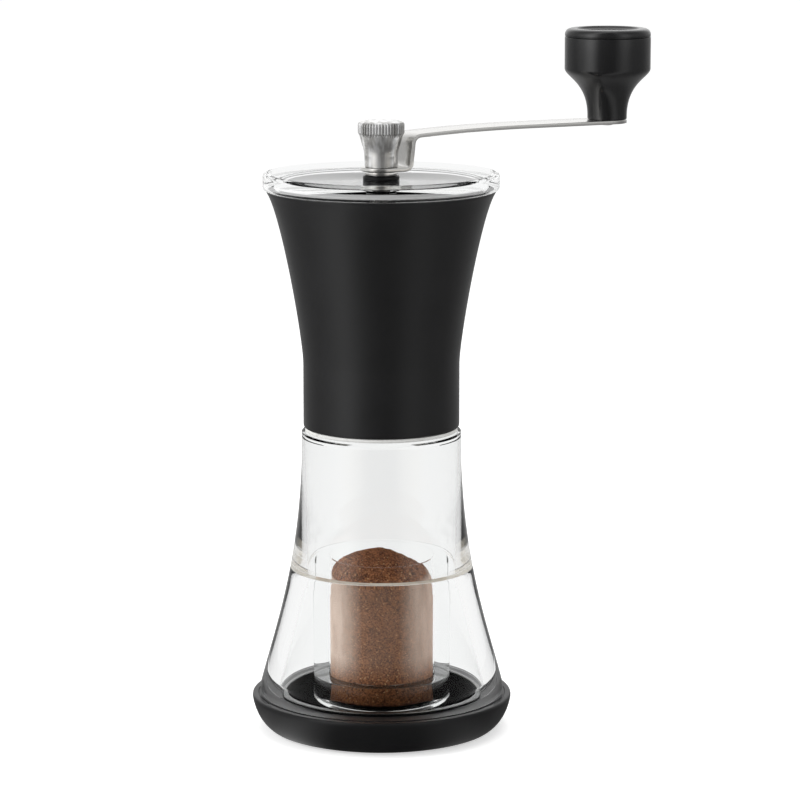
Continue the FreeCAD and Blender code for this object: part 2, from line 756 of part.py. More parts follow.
def click_plate():
    """Steel plate in the burr's underside, keyed to the shaft's flats."""
    plate = disc(DRIVE_PLATE_RADIUS, INNER_BURR_FOOT, INNER_BURR_FOOT + DRIVE_PLATE_THICKNESS)
    low = INNER_BURR_FOOT - OVERRUN
    high = INNER_BURR_FOOT + DRIVE_PLATE_THICKNESS + OVERRUN
    hole = disc(SHAFT_RADIUS + RUNNING_GAP, low, high).common(shaft_flats(RUNNING_GAP, low, high))
    return solid_of(plate.cut(hole))


def grind_dial():
    """Lobed dial on the shaft's lower thread, with a raised hub under it."""
    grip_low = DIAL_FOOT + DIAL_HUB_DROP
    grip = disc(DIAL_RADIUS, grip_low, DIAL_TOP)
    hollow = disc(DIAL_LOBE_RADIUS, grip_low - OVERRUN, DIAL_TOP - DIAL_WEB)
    hollow.translate(Vector(DIAL_RADIUS + DIAL_LOBE_OFFSET, 0, 0))
    for copy in around(hollow, DIAL_LOBES):
        grip = grip.cut(copy)
    dial = grip.fuse(disc(DIAL_HUB_RADIUS, DIAL_FOOT, DIAL_TOP))
    bore = disc(SHAFT_RADIUS + RUNNING_GAP, DIAL_FOOT - OVERRUN, DIAL_TOP + OVERRUN)
    return solid_of(dial.cut(bore).removeSplitter())


# Crank arm, nut and knob

def strip_side(offset):
    """Edges of the arm's side view, at an offset from its centre line."""
    x = -ARM_WIDTH
    z = ARM_BASE + ARM_THICKNESS / 2
    heading = 0.0
    knob_end = CRANK_RADIUS + ARM_WIDTH
    runs = (
        ("line", ARM_WIDTH + NUT_FOOT_RADIUS + HUB_MARGIN),
        ("bend", RISER_BEND, RISER_ANGLE),
        ("line", RISER_LENGTH),
        ("bend", KNEE_BEND, ARCH_ANGLE - RISER_ANGLE),
        ("bend", ARCH_RADIUS, -ARCH_ANGLE),
        ("reach", knob_end),
    )
    edges = []
    for run in runs:
        here = Vector(x - offset * math.sin(heading), 0, z + offset * math.cos(heading))
        if run[0] == "bend":
            side = 1.0 if run[2] > 0 else -1.0
            centre_x = x - side * run[1] * math.sin(heading)
            centre_z = z + side * run[1] * math.cos(heading)
            middle = heading + math.radians(run[2]) / 2
            end = heading + math.radians(run[2])
            radius = run[1] - side * offset
            points = []
            for turn in (middle, end):
                points.append(Vector(
                    centre_x + side * radius * math.sin(turn),
                    0,
                    centre_z - side * radius * math.cos(turn),
                ))
            edges.append(Part.Arc(here, points[0], points[1]).toShape())
            x = centre_x + side * run[1] * math.sin(end)
            z = centre_z - side * run[1] * math.cos(end)
            heading = end
        else:
            length = run[1] if run[0] == "line" else (run[1] - x) / math.cos(heading)
            x += length * math.cos(heading)
            z += length * math.sin(heading)
            there = Vector(x - offset * math.sin(heading), 0, z + offset * math.cos(heading))
            edges.append(Part.makeLine(here, there))
    return edges


def arm_pad_height():
    """Height of the arm's flat top under the knob."""
    return strip_side(ARM_THICKNESS / 2)[-1].BoundBox.ZMax


def crank_arm():
    """Bent strip with rounded ends, a square hole at the hub and a pin hole at the knob."""
    half = ARM_THICKNESS / 2
    low = strip_side(-half)
    high = strip_side(half)
    ends = [
        Part.makeLine(low[-1].lastVertex(True).Point, high[-1].lastVertex(True).Point),
        Part.makeLine(low[0].firstVertex(True).Point, high[0].firstVertex(True).Point),
    ]
    wire = Part.Wire(Part.__sortEdges__(low + high + ends))
    strip = Part.Face(wire).extrude(Vector(0, ARM_WIDTH, 0))
    strip.translate(Vector(0, -ARM_WIDTH / 2, 0))
    plan = disc(ARM_WIDTH / 2, 0, BIG)
    plan = plan.fuse(at_knob(plan))
    plan = plan.fuse(Part.makeBox(CRANK_RADIUS, ARM_WIDTH, BIG, Vector(0, -ARM_WIDTH / 2, 0)))
    arm = strip.common(plan.removeSplitter())
    arm = arm.cut(drive_square(RUNNING_GAP, ARM_BASE - OVERRUN, ARM_TOP + OVERRUN))
    pad = arm_pad_height()
    under = pad - 2 * ARM_THICKNESS
    arm = arm.cut(at_knob(disc(PIN_NECK_RADIUS + PIN_NECK_PLAY, under, pad + OVERRUN)))
    return solid_of(arm)


def arm_bush():
    """Bright steel ring under the arm's hub, with the same square hole."""
    ring = disc(ARM_BUSH_RADIUS, ARM_BUSH_BASE, ARM_BASE)
    return solid_of(ring.cut(drive_square(RUNNING_GAP, ARM_BUSH_BASE - OVERRUN, ARM_BASE + OVERRUN)))


def thumb_nut():
    """Flared nut with a ridged crown, a domed top and a blind thread bore."""
    top = NUT_BASE + NUT_HEIGHT
    crown_high = top - NUT_DOME
    crown_low = crown_high - NUT_CROWN_HEIGHT
    waist = (NUT_FOOT_RADIUS, NUT_BASE + NUT_WAIST_HEIGHT)
    root = NUT_CROWN_RADIUS - NUT_RIDGE_DEPTH
    neck = lathe(
        (0, NUT_BASE),
        (NUT_FOOT_RADIUS, NUT_BASE),
        waist,
        *runs_along(
            NUT_RUN_COUNT,
            waist,
            (NUT_FOOT_RADIUS, crown_low - NUT_WAIST_HEIGHT),
            (NUT_CROWN_RADIUS - NUT_CROWN_STEP, crown_low),
        ),
        (0, crown_low),
    )
    ridges = []
    for index in range(2 * NUT_RIDGES):
        turn = math.pi * index / NUT_RIDGES
        reach = NUT_CROWN_RADIUS if index % 2 else root
        ridges.append(Vector(reach * math.cos(turn), reach * math.sin(turn), crown_low))
    crown = Part.Face(Part.makePolygon(ridges + ridges[:1])).extrude(
        Vector(0, 0, NUT_CROWN_HEIGHT))
    dome_radius = NUT_CROWN_RADIUS - NUT_DOME_INSET
    dome = lathe(
        (0, crown_high),
        (dome_radius + NUT_DOME, crown_high),
        (dome_radius, top),
        (0, top),
    )
    bore_end = NUT_BASE + STUD_LENGTH + STUD_END_ROOM
    bore = disc(STUD_RADIUS + RUNNING_GAP, NUT_BASE - OVERRUN, bore_end)
    return solid_of(neck.fuse(crown).fuse(dome).removeSplitter().cut(bore))


def knob_base():
    """Height of the knob's foot, just above the arm."""
    return arm_pad_height() + REST_GAP


def knob_seam():
    """Height of the seam between the knob and its cap."""
    return knob_base() + KNOB_HEIGHT - CAP_HEIGHT


def crank_knob():
    """Turned knob: slim foot, concave waist and round shoulder, bored for its pin."""
    foot = knob_base()
    seam = knob_seam()
    shoulder = foot + KNOB_SHOULDER_HEIGHT
    waist = (KNOB_FOOT_RADIUS, foot + KNOB_FOOT_STRAIGHT)
    washer_pocket = foot + KNOB_WASHER_THICKNESS + REST_GAP
    knob = lathe(
        (0, foot),
        (KNOB_FOOT_RADIUS, foot),
        waist,
        *runs_along(
            KNOB_RUN_COUNT,
            waist,
            (KNOB_FOOT_RADIUS, waist[1] + KNOB_WAIST_PULL),
            (KNOB_RADIUS, shoulder - KNOB_SHOULDER_PULL),
            (KNOB_RADIUS, shoulder),
        ),
        (KNOB_RADIUS, seam),
        (0, seam),
    )
    over = seam + OVERRUN
    bore = disc(PIN_RADIUS + RUNNING_GAP, foot - OVERRUN, over)
    washer = disc(KNOB_WASHER_RADIUS + REST_GAP, foot - OVERRUN, washer_pocket)
    pocket = disc(PIN_HEAD_RADIUS + PIN_HEAD_ROOM, seam - PIN_POCKET_DEPTH, over)
    cavity = disc(KNOB_CAVITY_RADIUS, seam - KNOB_CAVITY_DEPTH, over)
    for hollow in (bore, washer, pocket, cavity):
        knob = knob.cut(hollow)
    return at_knob(solid_of(knob))


def knob_cap():
    """Dished cap with a rounded rim and a plug into the knob's cavity."""
    seam = knob_seam()
    top = seam + CAP_HEIGHT
    plug = KNOB_CAVITY_RADIUS - RUNNING_GAP
    dish = top - KNOB_DISH_DEPTH
    dish_radius = KNOB_RADIUS - KNOB_DISH_MARGIN
    cap = lathe(
        (0, seam - CAP_PLUG_LENGTH),
        (plug, seam - CAP_PLUG_LENGTH),
        (plug, seam),
        (KNOB_RADIUS, seam),
        (KNOB_RADIUS - KNOB_RIM_ROUND / 4, top - KNOB_RIM_DROP),
        (KNOB_RADIUS - KNOB_RIM_ROUND, top),
        (dish_radius, top),
        (dish_radius - KNOB_DISH_DEPTH, dish),
        (0, dish),
    )
    return at_knob(cap)


def knob_pin():
    """Pin that the knob turns on, riveted under the arm, with a head inside the knob."""
    pad = arm_pad_height()
    under = pad - ARM_THICKNESS
    rivet = PIN_NECK_RADIUS + RIVET_LIP
    head = knob_seam() - PIN_POCKET_DEPTH + REST_GAP
    pin = lathe(
        (0, under - RIVET_HEIGHT),
        (rivet - RIVET_HEIGHT / 2, under - RIVET_HEIGHT),
        (rivet, under),
        (PIN_NECK_RADIUS, under),
        (PIN_NECK_RADIUS, pad),
        (PIN_RADIUS, pad),
        (PIN_RADIUS, head),
        (PIN_HEAD_RADIUS, head),
        (PIN_HEAD_RADIUS, head + PIN_HEAD_HEIGHT),
        (0, head + PIN_HEAD_HEIGHT),
    )
    return at_knob(pin)


def knob_washer():
    """Thin washer on the arm, in a pocket of the knob's foot."""
    pad = arm_pad_height()
    return at_knob(tube(
        PIN_RADIUS + RUNNING_GAP,
        KNOB_WASHER_RADIUS,
        pad,
        pad + KNOB_WASHER_THICKNESS,
    ))


PIECES = (
    base_foot,
    grip_pad,
    lower_jar,
    upper_chamber,
    neck_seal,
    coffee_cup,
    mill_body,
    burr_carrier,
    outer_burr,
    burr_retainer,
    hopper_bridge,
    upper_bush,
    lid,
    lid_bush,
    drive_shaft,
    clip_washer,
    shaft_clip,
    spring_seat,
    burr_spring,
    inner_burr,
    click_plate,
    grind_dial,
    crank_arm,
    arm_bush,
    knob_pin,
    knob_washer,
    thumb_nut,
    crank_knob,
    knob_cap,
)


def main():
    """Build each piece and write it to its own file."""
    os.makedirs("parts", exist_ok=True)
    for piece in PIECES:
        shape = piece()
        shape.exportStep("parts/" + piece.__name__ + ".step")


main()
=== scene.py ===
"""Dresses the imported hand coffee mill: turned pieces, threads, spring, coffee and finishes."""

import math

import bmesh
import bpy
from bpy.props import FloatProperty, FloatVectorProperty, IntProperty, PointerProperty
from mathutils import Matrix, Vector, noise


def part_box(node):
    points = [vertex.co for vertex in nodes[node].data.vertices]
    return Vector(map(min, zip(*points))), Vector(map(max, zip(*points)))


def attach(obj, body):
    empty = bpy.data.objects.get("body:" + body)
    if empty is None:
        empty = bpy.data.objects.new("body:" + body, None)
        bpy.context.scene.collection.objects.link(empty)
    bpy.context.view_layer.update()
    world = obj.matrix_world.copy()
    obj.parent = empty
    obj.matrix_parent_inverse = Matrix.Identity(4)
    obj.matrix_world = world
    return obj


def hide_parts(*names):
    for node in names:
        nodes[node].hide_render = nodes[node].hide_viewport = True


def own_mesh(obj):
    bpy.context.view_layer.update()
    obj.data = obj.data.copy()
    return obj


bl_info = {
    "name": "Hand coffee mill dressing",
    "version": (1, 0, 0),
    "blender": (4, 5, 0),
    "location": "3D View > Sidebar > Mill",
    "description": "Builds the visible pieces of a hand cranked coffee mill round its CAD frame",
    "category": "Object",
}

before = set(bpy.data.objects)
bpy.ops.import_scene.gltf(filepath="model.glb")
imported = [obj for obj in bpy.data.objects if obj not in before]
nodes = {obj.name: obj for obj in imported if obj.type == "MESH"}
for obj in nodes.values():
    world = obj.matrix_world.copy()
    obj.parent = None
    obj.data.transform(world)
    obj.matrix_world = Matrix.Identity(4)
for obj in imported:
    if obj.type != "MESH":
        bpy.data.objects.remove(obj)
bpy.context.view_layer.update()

MM = 0.001


def level(node, top=True):
    """Height of a CAD node's top or foot, in millimetres."""
    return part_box(node)[1 if top else 0].z / MM


def reach(node, centre=0.0):
    """Radius of a round CAD node whose axis stands at x = centre, in millimetres."""
    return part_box(node)[1].x / MM - centre


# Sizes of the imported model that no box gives, in millimetres

CRANK_RADIUS = 87.0
CHAMBER_RADIUS = 27.46
CHAMBER_BORE = 26.4
WAIST_DROP = 2.2
NECK_RADIUS = 25.4
NECK_BORE = 24.1
WAIST_RADIUS = 26.87
CUP_BORE = 18.0
CUP_FLOOR = 1.2
LID_PLATE = 2.5
LID_DISH = 2.0
BRIDGE_ARM_LIFT = 3.0
LUG_HEIGHT = 9.0
ARM_THICKNESS = 1.3
ARM_HALF_WIDTH = 7.0

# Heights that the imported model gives, in millimetres

TRAY_FOOT = level("base_foot", False)
RING_TOP = level("base_foot")
PAD_TOP = level("grip_pad")
JAR_FOOT = level("lower_jar", False)
SEAM = level("lower_jar")
SHOULDER = level("neck_seal", False)
SEAL_TOP = level("neck_seal")
CHAMBER_TOP = level("upper_chamber")
CUP_FOOT = level("coffee_cup", False)
CUP_TOP = level("coffee_cup")
BODY_FOOT = level("mill_body", False)
BODY_TOP = level("mill_body")
LUG_TOP = level("hopper_bridge", False) + BRIDGE_ARM_LIFT
LUG_FOOT = LUG_TOP - LUG_HEIGHT
LID_FOOT = level("lid", False)
LID_TOP = level("lid")
BUSH_TOP = level("lid_bush")
ARM_BASE = level("arm_bush")
NUT_FOOT = level("thumb_nut", False)
NUT_TOP = level("thumb_nut")
WASHER_FOOT = level("knob_washer", False)
KNOB_FOOT = level("crank_knob", False)
KNOB_TOP = level("knob_cap")
SPRING_FOOT = level("burr_spring", False)
SPRING_TOP = level("burr_spring")
SHAFT_FOOT = level("drive_shaft", False)
SHAFT_TOP = level("drive_shaft")
CLIP_FOOT = level("shaft_clip", False)
CLIP_TOP = level("shaft_clip")
RETAINER_FOOT = level("burr_retainer", False)
CARRIER_TOP = level("burr_carrier")

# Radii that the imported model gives, in millimetres

TRAY_RADIUS = reach("base_foot")
PAD_RADIUS = reach("grip_pad")
JAR_RADIUS = reach("lower_jar")
JAR_FOOT_BORE = JAR_RADIUS - 7.2
RING_OUTSIDE = JAR_FOOT_BORE - 0.4
RING_INSIDE = RING_OUTSIDE - 1.5
SEAL_RADIUS = reach("neck_seal")
CUP_RADIUS = reach("coffee_cup")
BODY_RADIUS = reach("mill_body")
LID_RADIUS = reach("lid")
LID_BUSH_RADIUS = reach("lid_bush")
ARM_BUSH_RADIUS = reach("arm_bush")
SHAFT_RADIUS = reach("drive_shaft")
KNOB_RADIUS = reach("crank_knob", CRANK_RADIUS)


# Sizes and colours that a user would change

class MillSizes(bpy.types.PropertyGroup):
    facets: IntProperty(
        name="Facets", description="Faces round each turned piece", default=192, min=48)
    coffee_level: FloatProperty(
        name="Coffee level", description="Height of the coffee where it meets the cup",
        default=52.4)
    coffee_mound: FloatProperty(
        name="Coffee mound", description="How far the heap rises above its edge", default=9.2)
    coffee_grain: FloatProperty(
        name="Coffee grain", description="Size of a ground particle in millimetres", default=0.42)
    thread_pitch: FloatProperty(
        name="Stud pitch", description="Pitch of the stud's thread in millimetres", default=0.8)
    neck_pitch: FloatProperty(
        name="Neck pitch", description="Pitch of the glass neck's thread in millimetres", default=3.0)
    spring_turns: IntProperty(
        name="Spring turns", description="Working turns of the burr spring", default=9, min=3)
    nut_ridges: IntProperty(
        name="Nut ridges", description="Ridges round the thumb nut's crown", default=46, min=12)
    bedding: FloatProperty(
        name="Bedding", description="How far the tray meets into the clear feet that stand on it",
        default=0.05)
    strip_edge: FloatProperty(
        name="Arm edge", description="Rounding of the arm strip's edges in millimetres", default=0.22)


class MillColours(bpy.types.PropertyGroup):
    black: FloatVectorProperty(
        name="Black", description="Moulded black of base, body and knob", subtype="COLOR",
        default=(0.0070, 0.0070, 0.0075), size=3)
    clear: FloatVectorProperty(
        name="Clear", description="Tint of the clear pieces", subtype="COLOR",
        default=(0.985, 0.99, 0.988), size=3)
    coffee_dark: FloatVectorProperty(
        name="Coffee, dark", description="Darkest grounds", subtype="COLOR",
        default=(0.075, 0.021, 0.006), size=3)
    coffee_light: FloatVectorProperty(
        name="Coffee, light", description="Lightest grounds", subtype="COLOR",
        default=(0.46, 0.18, 0.075), size=3)
    steel: FloatVectorProperty(
        name="Steel", description="Stainless steel of arm, nut and shaft", subtype="COLOR",
        default=(0.90, 0.89, 0.865), size=3)
    ceramic: FloatVectorProperty(
        name="Ceramic", description="Fired ceramic of the burrs", subtype="COLOR",
        default=(0.80, 0.78, 0.73), size=3)
    nylon: FloatVectorProperty(
        name="Nylon", description="Glass filled nylon of the burr carrier", subtype="COLOR",
        default=(0.045, 0.047, 0.05), size=3)
    rubber: FloatVectorProperty(
        name="Rubber", description="Rubber of the pad and seal", subtype="COLOR",
        default=(0.022, 0.022, 0.022), size=3)


class MillStage(bpy.types.PropertyGroup):
    azimuth: FloatProperty(
        name="Azimuth", description="Turn of the camera about the mill", default=math.radians(-25),
        subtype="ANGLE")
    pitch: FloatProperty(
        name="Pitch", description="How far the camera looks down", default=math.radians(10.1),
        subtype="ANGLE")
    distance: FloatProperty(
        name="Distance", description="Camera to look point", default=1.205, unit="LENGTH")
    look: FloatVectorProperty(
        name="Look point", description="Point in the middle of the picture",
        default=(0.0058, -0.0027, 0.1154), subtype="TRANSLATION", size=3)
    lens: FloatProperty(
        name="Lens", description="Focal length in millimetres", default=157.5)
    world: FloatProperty(
        name="World light", description="Strength of the even light all round", default=0.6)
    floor: FloatProperty(
        name="Floor glow", description="Light added to the floor so that it photographs white",
        default=0.53)
    panels: FloatProperty(
        name="Soft panels", description="Strength of the soft lamps", default=1.0)


# Outlines and turned forms

def curve(*poles, steps=16):
    """Points of a Bezier curve, without its first one."""
    points = []
    for index in range(1, steps + 1):
        t = index / steps
        level_poles = [Vector(pole) for pole in poles]
        while len(level_poles) > 1:
            level_poles = [a.lerp(b, t) for a, b in zip(level_poles, level_poles[1:])]
        points.append(tuple(level_poles[0]))
    return points


def rounded(outline, steps=5):
    """The outline, with a soft corner wherever a point has a third number, its radius."""
    points = []
    count = len(outline)
    for index, point in enumerate(outline):
        here = Vector(point[:2])
        if len(point) < 3:
            points.append(here)
            continue
        back = Vector(outline[index - 1][:2]) - here
        ahead = Vector(outline[(index + 1) % count][:2]) - here
        cut = point[2] / math.tan(back.angle(ahead) / 2)
        start = here + back.normalized() * min(cut, back.length * 0.48)
        end = here + ahead.normalized() * min(cut, ahead.length * 0.48)
        for step in range(steps + 1):
            t = step / steps
            points.append(start.lerp(here, t).lerp(here.lerp(end, t), t))
    return points


def linked(name, data):
    """A new object in the scene."""
    obj = bpy.data.objects.new(name, data)
    bpy.context.scene.collection.objects.link(obj)
    return obj


def finish_mesh(name, verts, faces, sharp=32.0):
    """A mesh object in metres, with outward normals and smooth shading up to an angle."""
    mesh = bpy.data.meshes.new(name)
    mesh.from_pydata([(x * MM, y * MM, z * MM) for x, y, z in verts], [], faces)
    work = bmesh.new()
    work.from_mesh(mesh)
    bmesh.ops.recalc_face_normals(work, faces=work.faces)
    work.to_mesh(mesh)
    work.free()
    mesh.shade_smooth()
    mesh.set_sharp_from_angle(angle=math.radians(sharp))
    return linked(name, mesh)


def ring_faces(first, second, count):
    """Faces between two rings of points, either of which may be a single point on the axis."""
    faces = []
    for index in range(count):
        after = (index + 1) % count
        ring = [first[index % len(first)], first[after % len(first)]]
        ring += [second[after % len(second)], second[index % len(second)]]
        face = []
        for corner in ring:
            if corner not in face:
                face.append(corner)
        faces.append(face)
    return faces


def turned(name, outline, centre=0.0, facets=None, section=None):
    """Turn an outline of (radius, height) about the axis at x = centre.

    section(radius, height, angle) may change the radius, for flats, threads and ridges.
    """
    count = facets or bpy.context.scene.mill_sizes.facets
    verts = []
    rings = []
    for radius, height in rounded(outline):
        if radius < 1e-6:
            rings.append([len(verts)])
            verts.append((centre, 0, height))
            continue
        rings.append(list(range(len(verts), len(verts) + count)))
        for index in range(count):
            angle = 2 * math.pi * index / count
            there = section(radius, height, angle) if section else radius
            verts.append((centre + there * math.cos(angle), there * math.sin(angle), height))
    faces = []
    for first, second in zip(rings, rings[1:] + rings[:1]):
        if len(first) > 1 or len(second) > 1:
            faces += ring_faces(first, second, count)
    return finish_mesh(name, verts, faces)


def block(name, box):
    """A plain block between two corners."""
    low, high = box
    verts = [(x, y, z) for x in (low[0], high[0]) for y in (low[1], high[1]) for z in (low[2], high[2])]
    faces = [(0, 1, 3, 2), (4, 6, 7, 5), (0, 4, 5, 1), (2, 3, 7, 6), (0, 2, 6, 4), (1, 5, 7, 3)]
    return finish_mesh(name, verts, faces)


def pierced(obj, *cutters):
    """Take the cutters' shapes out of a piece."""
    for cutter in cutters:
        cut = obj.modifiers.new("hole", "BOOLEAN")
        cut.object = cutter
        cut.solver = "EXACT"
    graph = bpy.context.evaluated_depsgraph_get()
    obj.data = bpy.data.meshes.new_from_object(obj.evaluated_get(graph))
    obj.modifiers.clear()
    obj.data.set_sharp_from_angle(angle=math.radians(40))
    for cutter in cutters:
        bpy.data.objects.remove(cutter)


def dress(obj, material):
    """Give an object its material, in place of any other."""
    obj.data.materials.clear()
    obj.data.materials.append(material)


def place(obj, body, slot, material, *replaced):
    """Give a finished piece its body and material, and hide the CAD nodes it stands for. The slot is
    not used.
    """
    dress(obj, material)
    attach(obj, body)
    if replaced:
        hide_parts(*replaced)


def thread(pitch, depth, start, end, fade=1.0, bore=0.0):
    """A section that cuts a screw thread into a wall outside a bore, between two heights."""
    def section(radius, height, angle):
        phase = (height / pitch - angle / (2 * math.pi)) % 1.0
        tooth = min(1.0, max(0.0, abs(phase - 0.5) * 2.6 - 0.3))
        ends = min(1.0, max(0.0, (height - start) / fade), max(0.0, (end - height) / fade))
        return radius - depth * tooth * ends if radius > bore else radius
    return section


def many(radius, low, high, spacing):
    """Points up a straight wall, close enough to carry a thread."""
    count = max(2, round(abs(high - low) / spacing))
    return [(radius, low + (high - low) * index / count) for index in range(count + 1)]


# Materials

class Wiring:
    """Short calls for building a node tree."""

    def __init__(self, tree):
        self.tree = tree

    def give(self, socket, value):
        """Set a socket to a plain value, or link another socket to it."""
        if isinstance(value, bpy.types.NodeSocket):
            self.tree.links.new(value, socket)
        else:
            socket.default_value = value

    def add(self, kind, inputs=(), **settings):
        """A node with some of its inputs set or linked."""
        node = self.tree.nodes.new(kind)
        for key, value in settings.items():
            setattr(node, key, value)
        for key, value in dict(inputs).items():
            self.give(node.inputs[key], value)
        return node

    def spread(self, value, low, high, start=0.3, end=0.7):
        """The value stretched from its usual range to another."""
        return self.add("ShaderNodeMapRange", {
            "Value": value, "From Min": start, "From Max": end, "To Min": low, "To Max": high,
        }).outputs["Result"]

    def ramp(self, value, none, full, most=1.0):
        """0 where a length is `none` millimetres, and `most` where it is `full`."""
        return self.spread(value, 0.0, most, none * MM, full * MM)

    def blend(self, share, first, second):
        """Two colours mixed by a share."""
        return self.add(
            "ShaderNodeMix", {0: share, 6: first, 7: second}, data_type="RGBA").outputs[2]

    def join(self, first, second, how="ADD"):
        """Two values joined by one sum."""
        return self.add("ShaderNodeMath", {0: first, 1: second}, operation=how).outputs[0]

    def product(self, *factors):
        """Values multiplied together."""
        total = factors[0]
        for factor in factors[1:]:
            total = self.join(total, factor, "MULTIPLY")
        return total

    def along(self, point, direction):
        """How far a point lies in a direction."""
        return self.add(
            "ShaderNodeVectorMath", {0: point, 1: direction}, operation="DOT_PRODUCT",
        ).outputs["Value"]

    def sent_ray(self):
        """1 for a ray that gloss or a clear wall sends out, and 0 for any other."""
        path = self.add("ShaderNodeLightPath").outputs
        return self.join(path["Is Glossy Ray"], path["Is Transmission Ray"], "MAXIMUM")


class Finish(Wiring):
    """Short calls for building one material's nodes."""

    def __init__(self, name):
        self.material = bpy.data.materials.new(name)
        self.material.use_nodes = True
        super().__init__(self.material.node_tree)
        self.shader = self.tree.nodes["Principled BSDF"]
        self.place = self.add("ShaderNodeTexCoord").outputs["Object"]

    def set(self, **values):
        """Plain values, or links, on the shader's own sockets."""
        for key, value in values.items():
            self.give(self.shader.inputs[key.replace("_", " ")], value)

    def mix_in(self, share, other):
        """Mix another shader into the surface by a share."""
        mix = self.add("ShaderNodeMixShader", {
            0: share, 1: self.shader.outputs[0], 2: other.outputs[0]})
        self.give(self.tree.nodes["Material Output"].inputs["Surface"], mix.outputs[0])

    def noise(self, size, detail=2.0, rough=0.5, stretch=None):
        """Noise whose features are about `size` millimetres across."""
        place = self.place
        if stretch:
            place = self.add("ShaderNodeMapping", {"Vector": place, "Scale": stretch}).outputs[0]
        return self.add("ShaderNodeTexNoise", {
            "Vector": place, "Scale": 1 / (size * MM), "Detail": detail, "Roughness": rough,
        }).outputs["Fac"]

    def bump(self, height, depth):
        """Surface relief, `depth` millimetres deep."""
        node = self.add("ShaderNodeBump", {
            "Height": height, "Distance": depth * MM, "Strength": 1.0,
        })
        self.set(Normal=node.outputs[0])

    def height(self):
        """Height above the rest plane, in metres."""
        return self.add("ShaderNodeSeparateXYZ", {"Vector": self.place}).outputs["Z"]

    def radius(self):
        """Distance from the mill's axis, in metres."""
        flat = self.add("ShaderNodeVectorMath", {0: self.place, 1: (1, 1, 0)}, operation="MULTIPLY")
        return self.add(
            "ShaderNodeVectorMath", {0: flat.outputs[0]}, operation="LENGTH").outputs["Value"]

    def edges(self):
        """Share of wear on convex edges."""
        point = self.add("ShaderNodeNewGeometry").outputs["Pointiness"]
        return self.spread(point, 0.0, 1.0, 0.52, 0.62)


def colour(value, gain=1.0):
    """Four numbers for a colour socket."""
    return (*[min(1.0, part * gain) for part in value], 1.0)


def plastic(name, tint, roughness, grain, relief, lift=1.35, shine=0.35):
    """The nodes that every moulded plastic starts from, and the colour that they end in."""
    finish = Finish(name)
    cloud = finish.noise(14.0, 3.0)
    fine = finish.noise(grain, 3.0, 0.6)
    worn = finish.product(finish.edges(), finish.spread(finish.noise(2.2, 4.0), 0, 0.5))
    base = finish.blend(finish.spread(cloud, 0.0, 1.0), colour(tint, 0.92), colour(tint, 1.12))
    paint = finish.blend(worn, base, colour(tint, lift * 2.0))
    finish.set(
        Base_Color=paint,
        Roughness=finish.join(
            finish.spread(cloud, roughness - 0.03, roughness + 0.04),
            finish.spread(fine, -0.03, 0.03),
        ),
        Specular_IOR_Level=shine,
    )
    finish.bump(fine, relief)
    return finish, paint


def moulded(name, tint, roughness, grain, relief, lift=1.35, shine=0.35):
    """Moulded plastic: fine grain, cloudy gloss and slightly paler worn edges."""
    finish, _ = plastic(name, tint, roughness, grain, relief, lift, shine)
    return finish.material


def tray_plastic_painted_shade(name, tint, inside, polished):
    """The tray's moulded plastic: painted shade inside a radius, where it is a darker black without
    gloss, and its ring polished above a height.
    """
    finish, paint = plastic(name, tint, 0.36, 0.35, 0.006)
    height = finish.height()
    # Painted shade: inside the ring the black is darker and loses its gloss, as shade in the recess.
    inner = finish.product(
        finish.ramp(finish.radius(), inside + 0.1, inside), finish.ramp(height, 2.5, 3.5))
    finish.set(
        Base_Color=finish.blend(inner, paint, (0.003, 0.003, 0.0032, 1)),
        Specular_IOR_Level=finish.spread(inner, 0.35, 0.0, 0.0, 1.0),
        Coat_Weight=finish.product(inner, finish.ramp(height, polished, polished + 0.1)),
        Coat_Roughness=0.12,
        Coat_IOR=2.6,
    )
    return finish.material


def clear_plastic(name, tint, bend=1.49, steps=(), across=False, milky_highlight=None):
    """Clear moulded plastic: faint flow lines and hairline handling marks.

    Its refractive index is `bend` until the first of the steps, each a height, or a radius
    where `across` is set, and the index from there on. The last argument is a radius, a low and
    a high height and a share: outside that radius the wall between them scatters that share,
    a milky band that is a painted highlight.
    """
    finish = Finish(name)
    marks = finish.noise(0.35, 2.0, 0.5, (1.0, 1.0, 0.12))
    flow = finish.noise(30.0, 1.0)
    where = finish.radius() if across else finish.height()
    index = bend
    before = bend
    for edge, after in steps:
        index = finish.join(index, finish.ramp(where, edge - 0.02, edge + 0.02, after - before))
        before = after
    finish.set(
        Base_Color=finish.blend(
            finish.spread(flow, 0.0, 1.0), colour(tint), colour([part * 0.995 for part in tint])),
        Roughness=finish.spread(marks, 0.0, 0.02, 0.62, 0.8),
        Transmission_Weight=1.0,
        IOR=index,
    )
    finish.bump(flow, 0.004)
    # Painted highlight: the wall turns milky in a band outside a radius, between two heights.
    if milky_highlight:
        inner, low, high, share = milky_highlight
        soft = 0.15
        height = finish.height()
        milky = finish.product(
            finish.ramp(height, low - soft, low + soft),
            finish.ramp(height, high + soft, high - soft),
            finish.ramp(finish.radius(), inner - 0.1, inner, share))
        finish.set(Transmission_Weight=finish.spread(milky, 1.0, 0.0, 0.0, 1.0))
    veil = finish.add("ShaderNodeBsdfTransparent", {"Color": colour([part ** 2 for part in tint])})
    finish.mix_in(finish.add("ShaderNodeLightPath").outputs["Is Shadow Ray"], veil)
    return finish.material


def glue(name, tint, front):
    """Cured glue between two clear pieces: pale, and clouded towards one side, where its pale colour is
    also a painted highlight along the seam.
    """
    finish = Finish(name)
    cloud = finish.spread(finish.noise(5.0, 3.0), 0.35, 0.7)
    finish.set(
        Base_Color=colour(tint),
        Roughness=0.5,
        # Painted highlight with the glue: the pale film is densest towards the front.
        Alpha=finish.product(cloud, finish.ramp(finish.along(finish.place, front), -14, 2)),
    )
    return finish.material


